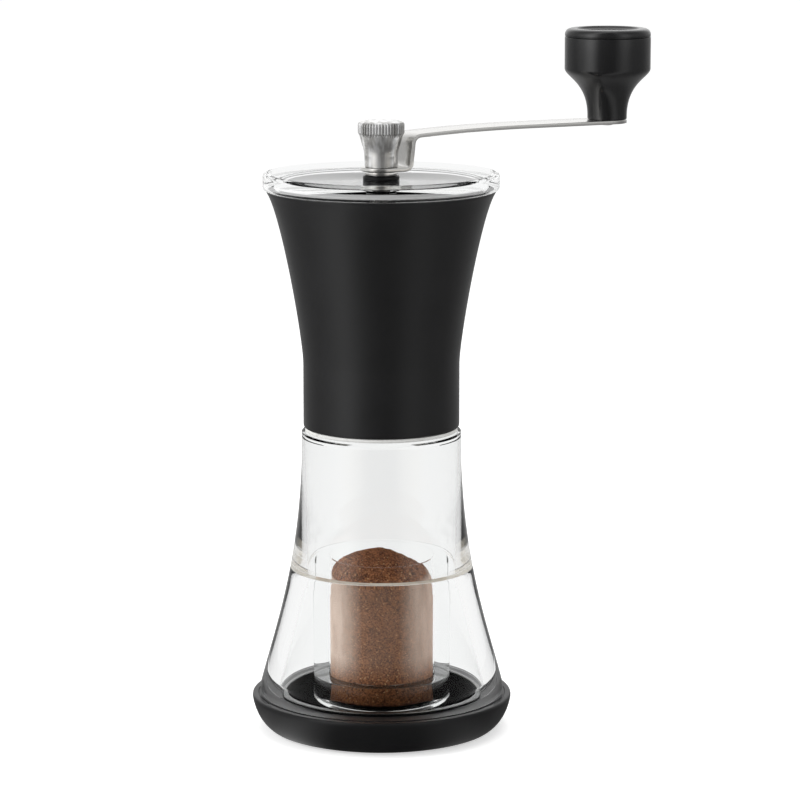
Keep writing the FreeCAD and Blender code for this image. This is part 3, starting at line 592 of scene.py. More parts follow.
def brushed(name, tint, roughness, stretch, line=0.12, relief=0.004, satin=0.0, groove_shade=None):
    """Brushed or turned steel, with its lines along the long side of `stretch`.

    Satin steel scatters a share of its light and has long soft streaks from polishing, lighter and
    darker in its colour, which are also painted reflection.
    Where the groove sizes are given, the radius of a groove's bed and of its crest and a low and a high
    height, the steel between them is painted darker towards the bed, as shade in each groove.
    """
    finish = Finish(name)
    lines = finish.noise(line, 3.0, 0.6, stretch)
    cloud = finish.noise(9.0, 3.0)
    base = finish.blend(finish.spread(lines, 0.0, 1.0), colour(tint, 0.93), colour(tint, 1.06))
    if satin:
        # Painted reflection with polishing marks: long streaks lighter and darker in the colour.
        streaks_and_reflections = finish.noise(2.2, 2.0, 0.5, (1.0, 1.0, 0.06))
        base = finish.blend(
            finish.spread(streaks_and_reflections, 0.0, 1.0, 0.42, 0.56), colour(tint, 0.62), colour(tint, 1.35))
    if groove_shade:
        # Painted shade: the steel darkens towards each groove's bed.
        bed, crest, low, high = groove_shade
        height = finish.height()
        deep = finish.product(
            finish.ramp(finish.radius(), crest, bed), finish.ramp(height, low, low + 0.6),
            finish.ramp(height, high, high - 0.4))
        base = finish.blend(deep, base, colour(tint, 0.10))
    finish.set(
        Base_Color=base,
        Metallic=1.0 - satin,
        Roughness=finish.join(
            finish.spread(lines, roughness - 0.05, roughness + 0.05),
            finish.spread(cloud, -0.02, 0.03),
        ),
    )
    finish.bump(lines, relief)
    return finish.material


def ceramic(name, tint):
    """Fired ceramic: matt, with fine pits and faint grey rubbing on the teeth."""
    finish = Finish(name)
    speck = finish.noise(0.5, 4.0, 0.7)
    rubbed = finish.product(finish.edges(), 0.5)
    base = finish.blend(finish.spread(speck, 0, 1), colour(tint, 0.94), colour(tint, 1.03))
    finish.set(
        Base_Color=finish.blend(rubbed, base, colour(tint, 0.72)),
        Roughness=finish.spread(speck, 0.34, 0.5),
    )
    finish.bump(speck, 0.02)
    return finish.material


def rubber(name, tint):
    """Matt rubber with a fine texture and a trace of dust."""
    finish = Finish(name)
    fine = finish.noise(0.3, 4.0, 0.65)
    dust = finish.spread(finish.noise(5.0, 5.0, 0.7), 0.0, 0.35, 0.55, 0.75)
    finish.set(
        Base_Color=finish.blend(dust, colour(tint), colour((0.10, 0.10, 0.095))),
        Roughness=finish.spread(fine, 0.72, 0.9),
    )
    finish.bump(fine, 0.03)
    return finish.material


def grounds(name, dark, light, grain, across, span):
    """Ground coffee: particles of many browns, pale flecks, and pale dust on the cup's wall that is
    partly painted reflection.

    The dust and painted reflection lie thickest at the two sides, which `across` points along,
    and the foot is painted darker as shade. `span` is the height of the coffee's foot and of its edge.
    """
    finish = Finish(name)
    cells = finish.add("ShaderNodeTexVoronoi", {
        "Vector": finish.place, "Scale": 1 / (grain * MM), "Randomness": 1.0,
    })
    tone = finish.add("ShaderNodeSeparateColor", {"Color": cells.outputs["Color"]}).outputs[0]
    fine = finish.noise(grain * 0.45, 3.0, 0.6)
    drift = finish.noise(grain * 7.0, 2.0)
    mixed = finish.join(finish.product(tone, 0.62), finish.product(fine, 0.38))
    shade = finish.join(mixed, finish.spread(drift, -0.08, 0.08))
    brown = finish.blend(finish.spread(shade, 0, 1, 0.2, 0.85), colour(dark), colour(light))
    fleck = finish.spread(tone, 0.0, 0.8, 0.965, 0.985)
    flecked = finish.blend(fleck, brown, colour((0.62, 0.36, 0.18)))
    low, high = span
    height = finish.height()
    # Painted shade: the coffee darkens towards its foot.
    coffee_foot_shade = finish.ramp(height, low + 9, low + 1, 0.6)
    # Painted reflection with real dust: pale towards the two sides of the cup's wall.
    side = finish.along(finish.place, across)
    side_dust_and_reflection = finish.join(finish.ramp(side, -6.5, -14, 0.80), finish.ramp(side, 6, 12, 0.62))
    dust = finish.product(
        finish.join(side_dust_and_reflection, 0.2), finish.ramp(height, low + 6, low + 16),
        finish.ramp(height, high + 1, high - 0.5),
        finish.spread(finish.noise(4.0, 5.0, 0.65, (1.0, 1.0, 0.35)), 0.75, 1.1))
    finish.set(
        Base_Color=finish.blend(
            dust, finish.blend(coffee_foot_shade, flecked, colour(dark, 0.25)), colour((0.84, 0.66, 0.57))),
        Roughness=finish.spread(tone, 0.7, 0.9, 0.1, 0.9),
        Specular_IOR_Level=0.15,
    )
    finish.bump(finish.join(finish.product(cells.outputs["Distance"], -0.7), fine), grain * 0.28)
    return finish.material


class Piece:
    """What the operators share: each can be undone."""
    bl_options = {"REGISTER", "UNDO"}


class MILL_OT_base(Piece, bpy.types.Operator):
    """Black tray with its rim, ledge and ring, and the rubber pad under it"""
    bl_idname = "mill.base"
    bl_label = "Base tray and pad"

    def execute(self, context):
        sizes = context.scene.mill_sizes
        tint = context.scene.mill_colours
        foot = TRAY_FOOT
        top = JAR_FOOT
        ledge = JAR_FOOT + sizes.bedding
        floor = CUP_FOOT + sizes.bedding
        side = TRAY_RADIUS
        recess = PAD_RADIUS + 0.1
        outline = [
            (0, PAD_TOP), (recess, PAD_TOP), (recess, foot), (side - 7.0, foot, 0.6),
            *curve(
                (side - 6.4, foot + 0.05), (side - 2.5, foot + 2.1), (side - 0.4, foot + 7.5),
                (side, top - 1.3), steps=20),
            *curve(
                (side, top - 1.3), (side, top - 0.1), (side - 0.3, top), (side - 1.1, top), steps=8),
            (JAR_RADIUS + 0.6, top, 0.15), (JAR_RADIUS + 0.4, top - 0.3, 0.1),
            (JAR_RADIUS - 0.4, top - 0.3, 0.1), (JAR_RADIUS - 0.8, ledge, 0.1),
            (RING_OUTSIDE, ledge, 0.1), (RING_OUTSIDE, RING_TOP, 0.3),
            (RING_INSIDE, RING_TOP, 0.35), (RING_INSIDE, floor, 0.3), (0, floor),
        ]
        black = tray_plastic_painted_shade(
            "satin_black_base", tint.black, RING_OUTSIDE + 0.1, RING_TOP - 0.4)
        place(turned("base_tray", outline), "stand", "base_black", black, "base_foot")

        groove_width = 1.6
        groove_depth = 0.4
        pad = [(0, 0.25), (10.0, 0.25)]
        for share in (0.45, 0.65, 0.85):
            inside = PAD_RADIUS * share
            outside = inside + groove_width
            pad += [
                (inside, 0.0, 0.1), (inside, groove_depth, 0.1),
                (outside, groove_depth, 0.1), (outside, 0.0, 0.1),
            ]
        pad += [(PAD_RADIUS, 0.0, 0.3), (PAD_RADIUS, PAD_TOP), (0, PAD_TOP)]
        place(
            turned("rubber_pad", pad), "stand", "pad_rubber",
            rubber("pad_rubber_matt", tint.rubber), "grip_pad")
        return {"FINISHED"}


class MILL_OT_clear_housing(Piece, bpy.types.Operator):
    """Clear jar, clear chamber with its threaded neck, and the soft seal"""
    bl_idname = "mill.clear_housing"
    bl_label = "Jar, chamber and seal"

    def execute(self, context):
        pitch = context.scene.mill_sizes.neck_pitch
        tint = context.scene.mill_colours
        waist = SHOULDER - WAIST_DROP
        start = (JAR_RADIUS, JAR_FOOT + 1.9)
        outer = [start, *curve(
            start, (JAR_RADIUS - 4.4, JAR_FOOT + 20.4), (CHAMBER_RADIUS, waist - 43.9),
            (CHAMBER_RADIUS, waist), steps=90)]
        groove = 0.12
        seam_radius = 31.6
        outline = [
            (JAR_FOOT_BORE, JAR_FOOT, 0.15), (JAR_RADIUS - 0.6, JAR_FOOT, 0.5),
            *[point for point in outer if point[1] < SEAM - 2 * groove],
            (seam_radius, SEAM - groove), (seam_radius - groove, SEAM), (seam_radius, SEAM + groove),
            *[point for point in outer if point[1] > SEAM + 2 * groove],
            (CHAMBER_RADIUS, SHOULDER - 0.3, 0.5), (CHAMBER_RADIUS - 0.56, SHOULDER, 0.2),
            (NECK_RADIUS, SHOULDER, 0.2),
            *many(NECK_RADIUS, SHOULDER + 0.6, CHAMBER_TOP - 0.6, pitch / 12),
            (NECK_RADIUS - 0.3, CHAMBER_TOP, 0.2), (NECK_BORE, CHAMBER_TOP, 0.2),
            (NECK_BORE, SHOULDER - 1.0, 0.3), (CHAMBER_BORE, SHOULDER - 1.6, 0.6),
            (CHAMBER_BORE, SEAM - 5.5, 0.5), (JAR_FOOT_BORE, JAR_FOOT + 4.35, 0.6),
        ]
        neck = thread(pitch, 0.75, SHOULDER + 1.4, CHAMBER_TOP - 0.8, bore=NECK_RADIUS - 0.2)
        place(
            turned("clear_housing", outline, section=neck), "stand", "jar_clear",
            clear_plastic(
                "clear_jar_plastic", tint.clear, 1.16,
                [(SEAM, 1.49), (waist, 1.08), (SHOULDER + 0.2, 1.49)]),
            "lower_jar", "upper_chamber")

        inside = CHAMBER_BORE + 0.2
        outside = seam_radius - 0.4
        film = 0.02
        bond = [
            (inside, SEAM - film), (outside, SEAM - film), (outside, SEAM + film),
            (inside, SEAM + film)]
        # The glue film is also a painted highlight along the seam.
        front = Matrix.Rotation(context.scene.mill_stage.azimuth, 3, "Z") @ Vector((0, -1, 0))
        place(
            turned("bond_line", bond), "stand", None,
            glue("bond_line_glue_and_highlight", (0.80, 0.74, 0.64), front))
        inside = NECK_RADIUS + 0.05
        seal = [
            (inside, SHOULDER, 0.2), (SEAL_RADIUS, SHOULDER, 0.2), (SEAL_RADIUS, SEAL_TOP, 0.35),
            (inside, SEAL_TOP, 0.35)]
        place(
            turned("neck_seal_ring", seal), "stand", "seal_rubber",
            rubber("seal_silicone_pale", (0.74, 0.74, 0.72)), "neck_seal")
        return {"FINISHED"}


class MILL_OT_cup(Piece, bpy.types.Operator):
    """Thick clear cup that stands in the jar"""
    bl_idname = "mill.cup"
    bl_label = "Coffee cup"

    def execute(self, context):
        tint = context.scene.mill_colours
        floor = CUP_FOOT + CUP_FLOOR
        outline = [
            (0, CUP_FOOT), (CUP_RADIUS, CUP_FOOT, 0.5), (CUP_RADIUS, CUP_TOP - 1.2, 0.3),
            (CUP_BORE, CUP_TOP, 0.2), (CUP_BORE, floor, 0.8), (0, floor),
        ]
        place(
            turned("clear_cup", outline), "cup", "cup_clear",
            clear_plastic("clear_cup_plastic", tint.clear, 1.015, [(CUP_TOP - 0.12, 1.3)]),
            "coffee_cup")
        sunk = 0.1
        inside = CUP_BORE + sunk
        outside = CUP_RADIUS - sunk
        low = CUP_FOOT + sunk
        top = CUP_FOOT + 9.5
        foot = [(inside, low, 0.3), (outside, low, 0.4), (outside, top, 0.3), (inside, top, 0.3)]
        place(
            turned("clear_cup_foot", foot), "cup", "cup_clear",
            clear_plastic("clear_foot_plastic", tint.clear, 1.40))
        return {"FINISHED"}


class MILL_OT_coffee(Piece, bpy.types.Operator):
    """Ground coffee heaped in the cup, displaced particle by particle"""
    bl_idname = "mill.coffee"
    bl_label = "Ground coffee"

    def execute(self, context):
        sizes = context.scene.mill_sizes
        tint = context.scene.mill_colours
        floor = CUP_FOOT + 1.35
        wall = 17.86
        edge = sizes.coffee_level
        grain = sizes.coffee_grain
        outline = [(0, floor), (6.0, floor), (12.0, floor), (wall - 0.6, floor)]
        outline += many(wall, floor + 0.6, edge, 0.35)
        rings = 60
        blunt = 3.0
        skin = 0.05
        lean = 1.3
        lean_depth = 14.0
        for index in range(1, rings):
            share = math.sin(math.pi / 2 * (1 - index / rings))
            slope = (math.hypot(wall * share, blunt) - blunt) / (math.hypot(wall, blunt) - blunt)
            fall = 0.76 * slope + 0.24 * share ** 8
            outline.append((wall * share, edge + sizes.coffee_mound * (1 - fall)))
        outline.append((0, edge + sizes.coffee_mound))
        heap = turned("ground_coffee", outline, facets=420)
        lower_side = Matrix.Rotation(context.scene.mill_stage.azimuth, 3, "Z") @ Vector((1, 0, 0))
        for vert in heap.data.vertices:
            here = vert.co / MM
            radius = math.hypot(here.x, here.y)
            if here.z < floor + 0.1:
                continue
            coarse = noise.noise(here / (grain * 4.0))
            fine = noise.cell(here / grain) - 0.5 + 0.6 * noise.noise(here / (grain * 0.7))
            if radius > wall - skin and here.z < edge:
                dent = max(0.0, 0.10 * coarse + 0.12 * fine)
                scale = (radius - dent) / radius
                here = Vector((here.x * scale, here.y * scale, here.z))
            else:
                fade = min(1.0, (wall - radius) / 1.2)
                here.z += (0.5 * coarse + 0.55 * grain * fine) * max(0.15, fade)
            tilt = max(0.0, (here.z - edge + lean_depth) / lean_depth) * lower_side.dot(here) / wall
            here.z -= lean * min(1.0, max(0.0, (here.z - floor) / 20.0)) * tilt
            vert.co = here * MM
        heap.data.shade_smooth()
        place(
            heap, "cup", "ground_coffee",
            grounds(
                "ground_coffee_grains", tint.coffee_dark, tint.coffee_light, grain, lower_side,
                (floor, edge)))
        return {"FINISHED"}


class MILL_OT_body(Piece, bpy.types.Operator):
    """Black flared body shell with the bean hopper and its three lugs"""
    bl_idname = "mill.body"
    bl_label = "Body shell"

    def execute(self, context):
        tint = context.scene.mill_colours
        black = moulded("satin_black_body", tint.black, 0.40, 0.5, 0.006, shine=0.6)
        foot = BODY_FOOT
        skirt_bore = WAIST_RADIUS - 1.37
        carrier_bore = WAIST_RADIUS - 2.27
        throat = 20.5
        shelf = CARRIER_TOP + 0.2
        flare_foot = foot + 21.9
        rim_wall = 2.2
        flare = curve(
            (WAIST_RADIUS, flare_foot), (WAIST_RADIUS, flare_foot + 8.3),
            (BODY_RADIUS - 4.85, BODY_TOP - 6.7), (BODY_RADIUS, BODY_TOP - 0.4), steps=48)
        inner = [(radius - rim_wall, height) for radius, height in flare if height > shelf + 3.8]
        outline = [
            (skirt_bore + 0.1, foot, 0.2), (WAIST_RADIUS, foot, 1.1),
            (WAIST_RADIUS, foot + 13.5), (WAIST_RADIUS, flare_foot), *flare[:-1],
            (BODY_RADIUS, BODY_TOP, 0.4), (BODY_RADIUS - rim_wall, BODY_TOP, 0.4),
            *reversed(inner[:-1]),
            (carrier_bore, shelf + 5.6, 1.0), (throat, shelf + 0.9, 0.8), (throat, shelf, 0.1),
            (carrier_bore, shelf, 0.1), (carrier_bore, foot + 10.4, 0.1),
            (skirt_bore, foot + 10.0, 0.1),
        ]
        place(turned("body_shell", outline), "head", "body_black", black, "mill_body")

        def wall(height):
            """Radius of the hopper's inner wall."""
            below, above = [
                pair for pair in zip(inner, inner[1:]) if pair[0][1] <= height <= pair[1][1]][0]
            share = (height - below[1]) / (above[1] - below[1])
            return below[0] + (above[0] - below[0]) * share

        depth = 3.0
        sunk = 1.1
        half_width = 4.0
        side = [
            (wall(LUG_TOP) - depth, LUG_TOP), (wall(LUG_TOP) + sunk, LUG_TOP),
            (wall(LUG_FOOT) + sunk, LUG_FOOT), (wall(LUG_FOOT) - 0.2, LUG_FOOT),
            (wall(LUG_TOP) - depth, LUG_TOP - 2.0)]
        for name, turn in (("a", 60), ("b", 180), ("c", 300)):
            spin = Matrix.Rotation(math.radians(turn), 3, "Z")
            verts = [
                spin @ Vector((x, y, z)) for y in (-half_width, half_width) for x, z in side]
            faces = ring_faces(list(range(5)), list(range(5, 10)), 5) + [range(5), range(5, 10)]
            place(finish_mesh("bridge_lug_" + name, verts, faces), "head", "body_black", black)
        return {"FINISHED"}


class MILL_OT_lid(Piece, bpy.types.Operator):
    """Clear dished lid with its locating skirt, and the black bush in its middle"""
    bl_idname = "mill.lid"
    bl_label = "Lid and bush"

    def execute(self, context):
        tint = context.scene.mill_colours
        top = LID_TOP
        plate = top - LID_DISH
        under = plate - LID_PLATE
        rim_foot = BODY_TOP + 0.2
        rim_bore = LID_RADIUS - 3.0
        skirt = 36.5
        skirt_bore = skirt - 1.6
        hole = 5.0
        outline = [
            (hole, under, 0.2), (skirt_bore, under, 0.5), (skirt_bore, LID_FOOT, 0.3),
            (skirt, LID_FOOT, 0.3), (skirt, rim_foot, 0.3), (LID_RADIUS, rim_foot, 1.0),
            (LID_RADIUS, top, 1.1), (rim_bore, top, 0.9),
            *curve(
                (rim_bore - 0.35, top - 0.7), (rim_bore - 1.45, plate), (rim_bore - 2.75, plate),
                steps=8),
            (hole, plate, 0.2),
        ]
        place(
            turned("clear_lid", outline), "lid", "lid_clear",
            clear_plastic(
                "clear_lid_plastic", tint.clear, 1.6, [(skirt_bore - 0.7, 1.05)], True,
                (LID_RADIUS - 0.45, LID_FOOT + 3.4, plate - 0.8, 0.35)),
            "lid")
        bore = SHAFT_RADIUS + 0.1
        bush = [
            (bore, under - 1.0, 0.2), (hole - 0.05, under - 1.0, 0.3), (hole - 0.05, plate, 0.05),
            (LID_BUSH_RADIUS, plate, 0.1), (LID_BUSH_RADIUS, BUSH_TOP, 0.35),
            (bore, BUSH_TOP, 0.25),
        ]
        place(
            turned("lid_centre_bush", bush, facets=96), "lid", "bush_black",
            moulded("satin_black_bush", tint.black, 0.42, 0.3, 0.004), "lid_bush")
        return {"FINISHED"}


class MILL_OT_shaft(Piece, bpy.types.Operator):
    """Steel shaft with its flats, square, threads and clip groove, and the wound burr spring"""
    bl_idname = "mill.shaft"
    bl_label = "Shaft and spring"

    def execute(self, context):
        sizes = context.scene.mill_sizes
        tint = context.scene.mill_colours
        pitch = sizes.thread_pitch
        fine = pitch / 8
        side = SHAFT_RADIUS
        flat = 3.4
        flat_foot = SHAFT_FOOT + 11.7
        flat_top = flat_foot + 3.9
        groove = side - 0.6
        stud = 2.95
        square = 3.0
        square_foot = BUSH_TOP
        square_top = NUT_FOOT - 0.3
        corner = side - 0.05
        step = 0.03
        outline = [
            (0, SHAFT_FOOT), (groove, SHAFT_FOOT, 0.1),
            *many(side, SHAFT_FOOT + 0.6, flat_foot - 0.3, fine),
            (side, flat_foot - step), (side, flat_foot), (side, flat_top),
            (side, flat_top + step), (side, CLIP_FOOT, 0.05), (groove, CLIP_FOOT),
            (groove, CLIP_TOP), (side, CLIP_TOP, 0.05), (side, square_foot, 0.2),
            (corner, square_foot), (corner, square_foot + 0.01), (corner, square_top),
            (stud + 0.45, square_top + 0.05),
            *many(stud, square_top + 0.1, SHAFT_TOP - 0.5, fine),
            (stud - 0.5, SHAFT_TOP, 0.1), (0, SHAFT_TOP),
        ]
        depth = 0.42
        dial_thread = thread(pitch, depth, SHAFT_FOOT + 0.4, flat_foot - 0.7, 0.5)
        stud_thread = thread(pitch, depth, square_top + 0.3, SHAFT_TOP - 0.2, 0.5)

        def section(radius, height, angle):
            if flat_foot - step / 2 < height < flat_top + step / 2:
                return min(radius, flat / max(abs(math.sin(angle)), 0.1))
            if square_foot < height < square_top + 0.01 and radius < corner + 0.01:
                return min(radius, square / max(abs(math.sin(angle)), abs(math.cos(angle))))
            return stud_thread(dial_thread(radius, height, angle), height, angle)

        place(
            turned("steel_shaft", outline, facets=96, section=section), "shaft", "shaft_steel",
            brushed("shaft_steel_turned", tint.steel, 0.24, (0.15, 0.15, 6.0)), "drive_shaft")
        coil = wire_coil("burr_coil_spring", 6.0, 0.6, SPRING_FOOT, SPRING_TOP, sizes.spring_turns)
        place(
            coil, "shaft", "spring_steel",
            brushed("spring_steel_wire", tint.steel, 0.20, (1, 1, 8.0), 0.2), "burr_spring")
        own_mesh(coil)
        return {"FINISHED"}


def wire_coil(name, radius, wire, low, high, turns):
    """A closed-end compression spring: one flat turn at each end, open ones between.

    `radius` is that of the coil's centre line, and `wire` that of the wire.
    """
    steps = 40
    total = turns + 2
    span = high - low - 2 * wire
    points = []
    for index in range(int(total * steps) + 1):
        turn = index / steps
        if turn < 1:
            rise = 2 * wire * turn
        elif turn > total - 1:
            rise = span - 2 * wire * (total - turn)
        else:
            rise = 2 * wire + (span - 4 * wire) * (turn - 1) / turns
        angle = 2 * math.pi * turn
        points.append(Vector((
            radius * math.cos(angle), radius * math.sin(angle), low + wire + rise)))
    sides = 14
    verts = []
    for here in points:
        outward = Vector((here.x, here.y, 0)).normalized()
        for side in range(sides):
            angle = 2 * math.pi * side / sides
            spot = here + outward * wire * math.cos(angle)
            height = min(high, max(low, spot.z + wire * math.sin(angle)))
            verts.append((spot.x, spot.y, height))
    rings = [list(range(start, start + sides)) for start in range(0, len(verts), sides)]
    faces = [rings[0], rings[-1]]
    for first, second in zip(rings, rings[1:]):
        faces += ring_faces(first, second, sides)
    return finish_mesh(name, verts, faces, 50)


class MILL_OT_burrs(Piece, bpy.types.Operator):
    """Finishes for the burrs, bearing and dial, which keep their CAD shape, and the screws"""
    bl_idname = "mill.burrs"
    bl_label = "Burrs and bearing finishes"

    def execute(self, context):
        tint = context.scene.mill_colours
        steel = brushed("small_steel_parts", tint.steel, 0.26, (5.0, 0.3, 0.3))
        finishes = (
            (ceramic("burr_ceramic_fired", tint.ceramic), ("inner_burr", "outer_burr")),
            (moulded("glass_filled_nylon", tint.nylon, 0.5, 0.4, 0.02, 1.2),
             ("burr_carrier", "hopper_bridge")),
            (moulded("satin_black_dial", tint.black, 0.45, 0.4, 0.012), ("grind_dial",)),
            (moulded("acetal_bush_white", (0.62, 0.61, 0.57), 0.38, 0.5, 0.004, 1.0),
             ("upper_bush",)),
            (steel, ("burr_retainer", "clip_washer", "shaft_clip", "spring_seat", "click_plate",
                     "knob_washer")),
        )
        for material, names in finishes:
            for name in names:
                dress(nodes[name], material)

        head_foot = RETAINER_FOOT - 1.3
        head = [
            (0.35, RETAINER_FOOT), (2.5, RETAINER_FOOT), (2.5, RETAINER_FOOT - 0.7, 0.3),
            (1.6, head_foot, 0.4), (0.35, head_foot), (0, head_foot), (0, RETAINER_FOOT)]
        half_width = 0.35
        half_length = 3.0
        depth = 0.6
        circle = 22.4
        for name, turn in (("a", 30), ("b", 150), ("c", 270)):
            screw = turned("retainer_screw_" + name, head, facets=48)
            pierced(screw, block("slot_cutter", [
                (-half_width, -half_length, head_foot - depth),
                (half_width, half_length, head_foot + depth)]))
            spot = Matrix.Rotation(math.radians(turn), 4, "Z") @ Vector((circle * MM, 0, 0))
            screw.data.transform(Matrix.Translation(spot))
            place(screw, "head", "retainer_steel", steel)
        return {"FINISHED"}


def arm_line():
    """Centre line of the arm strip: (x, z, heading) from the hub's end to the knob's end.

    A run is a length and 0, or a bend's radius and its turn in degrees. The last run is
    straight and ends at a place along x.
    """
    hub = (13.0, 0.0)
    riser_bend = (2.4, 84.0)
    riser = (6.6, 0.0)
    knee = (3.0, -80.25)
    arch = (640.0, -3.75)
    knob_end = (CRANK_RADIUS + ARM_HALF_WIDTH, None)
    x = -ARM_HALF_WIDTH
    z = ARM_BASE + ARM_THICKNESS / 2
    heading = 0.0
    line = []
    for size, turn in (hub, riser_bend, riser, knee, arch, knob_end):
        if turn is None:
            length = (size - x) / math.cos(heading)
            steps = 24
        elif turn:
            length = size * abs(math.radians(turn))
            steps = max(14, round(length / 1.2)) if size < 10 else 60
        else:
            length = size
            steps = 26
        advance = length / steps
        swing = math.radians(turn or 0.0) / steps
        chord = advance * (math.sin(swing / 2) / (swing / 2) if swing else 1.0)
        for _ in range(steps):
            line.append((x, z, heading))
            x += chord * math.cos(heading + swing / 2)
            z += chord * math.sin(heading + swing / 2)
            heading += swing
    line.append((x, z, heading))
    return line


def strip_edge(half, round_off):
    """Half of the strip's outline: (inset, height) down one rounded edge."""
    steps = 4
    turns = [math.pi / 2 * step / steps for step in range(steps + 1)]
    upper = [
        (round_off * (1 - math.sin(turn)), half - round_off * (1 - math.cos(turn)))
        for turn in turns]
    return upper + [(inset, -height) for inset, height in reversed(upper)]


class MILL_OT_arm(Piece, bpy.types.Operator):
    """Bent stainless strip with softened edges, its bush ring, pin and rivet"""
    bl_idname = "mill.arm"
    bl_label = "Crank arm"

    def execute(self, context):
        sizes = context.scene.mill_sizes
        tint = context.scene.mill_colours
        profile = strip_edge(ARM_THICKNESS / 2, sizes.strip_edge)
        verts = []
        rows = []
        for x, z, heading in arm_line():
            row = []
            end = min(x, 0.0) if x < CRANK_RADIUS / 2 else max(x - CRANK_RADIUS, 0.0)
            for side, order in ((1, profile), (-1, profile[::-1])):
                for inset, height in order:
                    radius = ARM_HALF_WIDTH - inset
                    across = math.sqrt(max(0.0, radius * radius - end * end))
                    row.append(len(verts))
                    verts.append((
                        x - height * math.sin(heading), side * across,
                        z + height * math.cos(heading)))
            rows.append(row)
        faces = []
        for first, second in zip(rows, rows[1:]):
            faces += ring_faces(first, second, len(first))
        faces += [rows[0], rows[-1]]
        arm = finish_mesh("steel_arm", verts, faces, 40)
        work = bmesh.new()
        work.from_mesh(arm.data)
        bmesh.ops.remove_doubles(work, verts=work.verts, dist=0.01 * MM)
        bmesh.ops.dissolve_degenerate(work, edges=work.edges, dist=0.005 * MM)
        bmesh.ops.recalc_face_normals(work, faces=work.faces)
        work.to_mesh(arm.data)
        work.free()
        square = 3.05
        hole = 2.02
        pin_hole = [
            (0, KNOB_FOOT - 4), (hole, KNOB_FOOT - 4), (hole, KNOB_FOOT + 2), (0, KNOB_FOOT + 2)]
        pierced(
            arm,
            block("square_cutter", [
                (-square, -square, ARM_BASE - 1), (square, square, ARM_BASE + 3)]),
            turned("pin_cutter", pin_hole, CRANK_RADIUS, 64))
        place(
            arm, "arm", "arm_steel",
            brushed("arm_steel_brushed", tint.steel, 0.22, (0.06, 4.0, 4.0), 0.3), "crank_arm")

        polished = brushed("bush_steel_polished", tint.steel, 0.14, (0.2, 0.2, 5.0))
        bore = 3.2
        low = BUSH_TOP + 0.1
        ring = [
            (bore, low, 0.1), (ARM_BUSH_RADIUS, low, 0.4), (ARM_BUSH_RADIUS, ARM_BASE, 0.4),
            (bore, ARM_BASE, 0.1),
        ]
        place(turned("steel_bush_ring", ring, facets=96), "arm", "arm_steel", polished, "arm_bush")
        neck = 2.0
        rivet = 2.4
        pin_radius = 3.0
        head_radius = 5.0
        head = KNOB_FOOT + 22.6
        under = WASHER_FOOT - ARM_THICKNESS
        pin = [
            (0, under - 0.9), *curve((0.8, under - 0.9), (rivet, under - 0.9), (rivet, under), steps=8),
            (neck, under), (neck, WASHER_FOOT), (pin_radius, WASHER_FOOT, 0.1),
            (pin_radius, head, 0.1), (head_radius, head, 0.2), (head_radius, head + 1.6, 0.3),
            (0, head + 1.6),
        ]
        place(
            turned("knob_pin_rivet", pin, CRANK_RADIUS, 96), "arm", "arm_steel", polished,
            "knob_pin")
        return {"FINISHED"}


class MILL_OT_nut(Piece, bpy.types.Operator):
    """Flared thumb nut with its ridged crown and bright domed top"""
    bl_idname = "mill.nut"
    bl_label = "Thumb nut"

    def execute(self, context):
        tint = context.scene.mill_colours
        ridges = context.scene.mill_sizes.nut_ridges
        low = NUT_FOOT
        top = NUT_TOP
        crown = top - 5.3
        bore = 3.0
        waist = 5.75
        side = 7.95
        dome = side - 1.35
        outline = [
            (bore, low, 0.1), (waist, low, 0.35), (waist, low + 3.4),
            *curve(
                (waist, low + 3.4), (waist, low + 5.6), (waist + 0.8, crown - 3.4),
                (side - 0.55, crown), steps=18),
            (side, crown + 1.0, 0.3), *many(side, crown + 1.3, top - 1.5, 0.6),
            *curve(
                (side, top - 1.5), (side - 0.05, top - 0.75), (side - 0.85, top - 0.5),
                (dome, top - 0.35), steps=8),
            *curve((dome, top - 0.35), (4.5, top - 0.02), (0.0, top), steps=8),
            (0, top - 2.0), (bore, top - 3.0, 0.2),
        ]
        depth = 0.6
        ridge_top = top - 0.6

        def section(radius, height, angle):
            if height < crown + 0.3 or height > ridge_top or radius < side - 0.45:
                return radius
            wave = abs(math.sin(angle * ridges / 2)) ** 0.7
            fade = min(1.0, (height - crown - 0.2) / 0.5, (ridge_top - height) / 0.6)
            return radius - depth * (1 - wave) * max(0.0, fade)

        place(
            turned("steel_thumb_nut", outline, facets=ridges * 10, section=section), "nut",
            "nut_steel",
            brushed(
                "nut_steel_turned", tint.steel, 0.17, (0.1, 0.1, 7.0), 0.25, satin=0.3,
                groove_shade=(side - 0.5, side - 0.15, crown + 0.4, top - 0.8)),
            "thumb_nut")
        return {"FINISHED"}


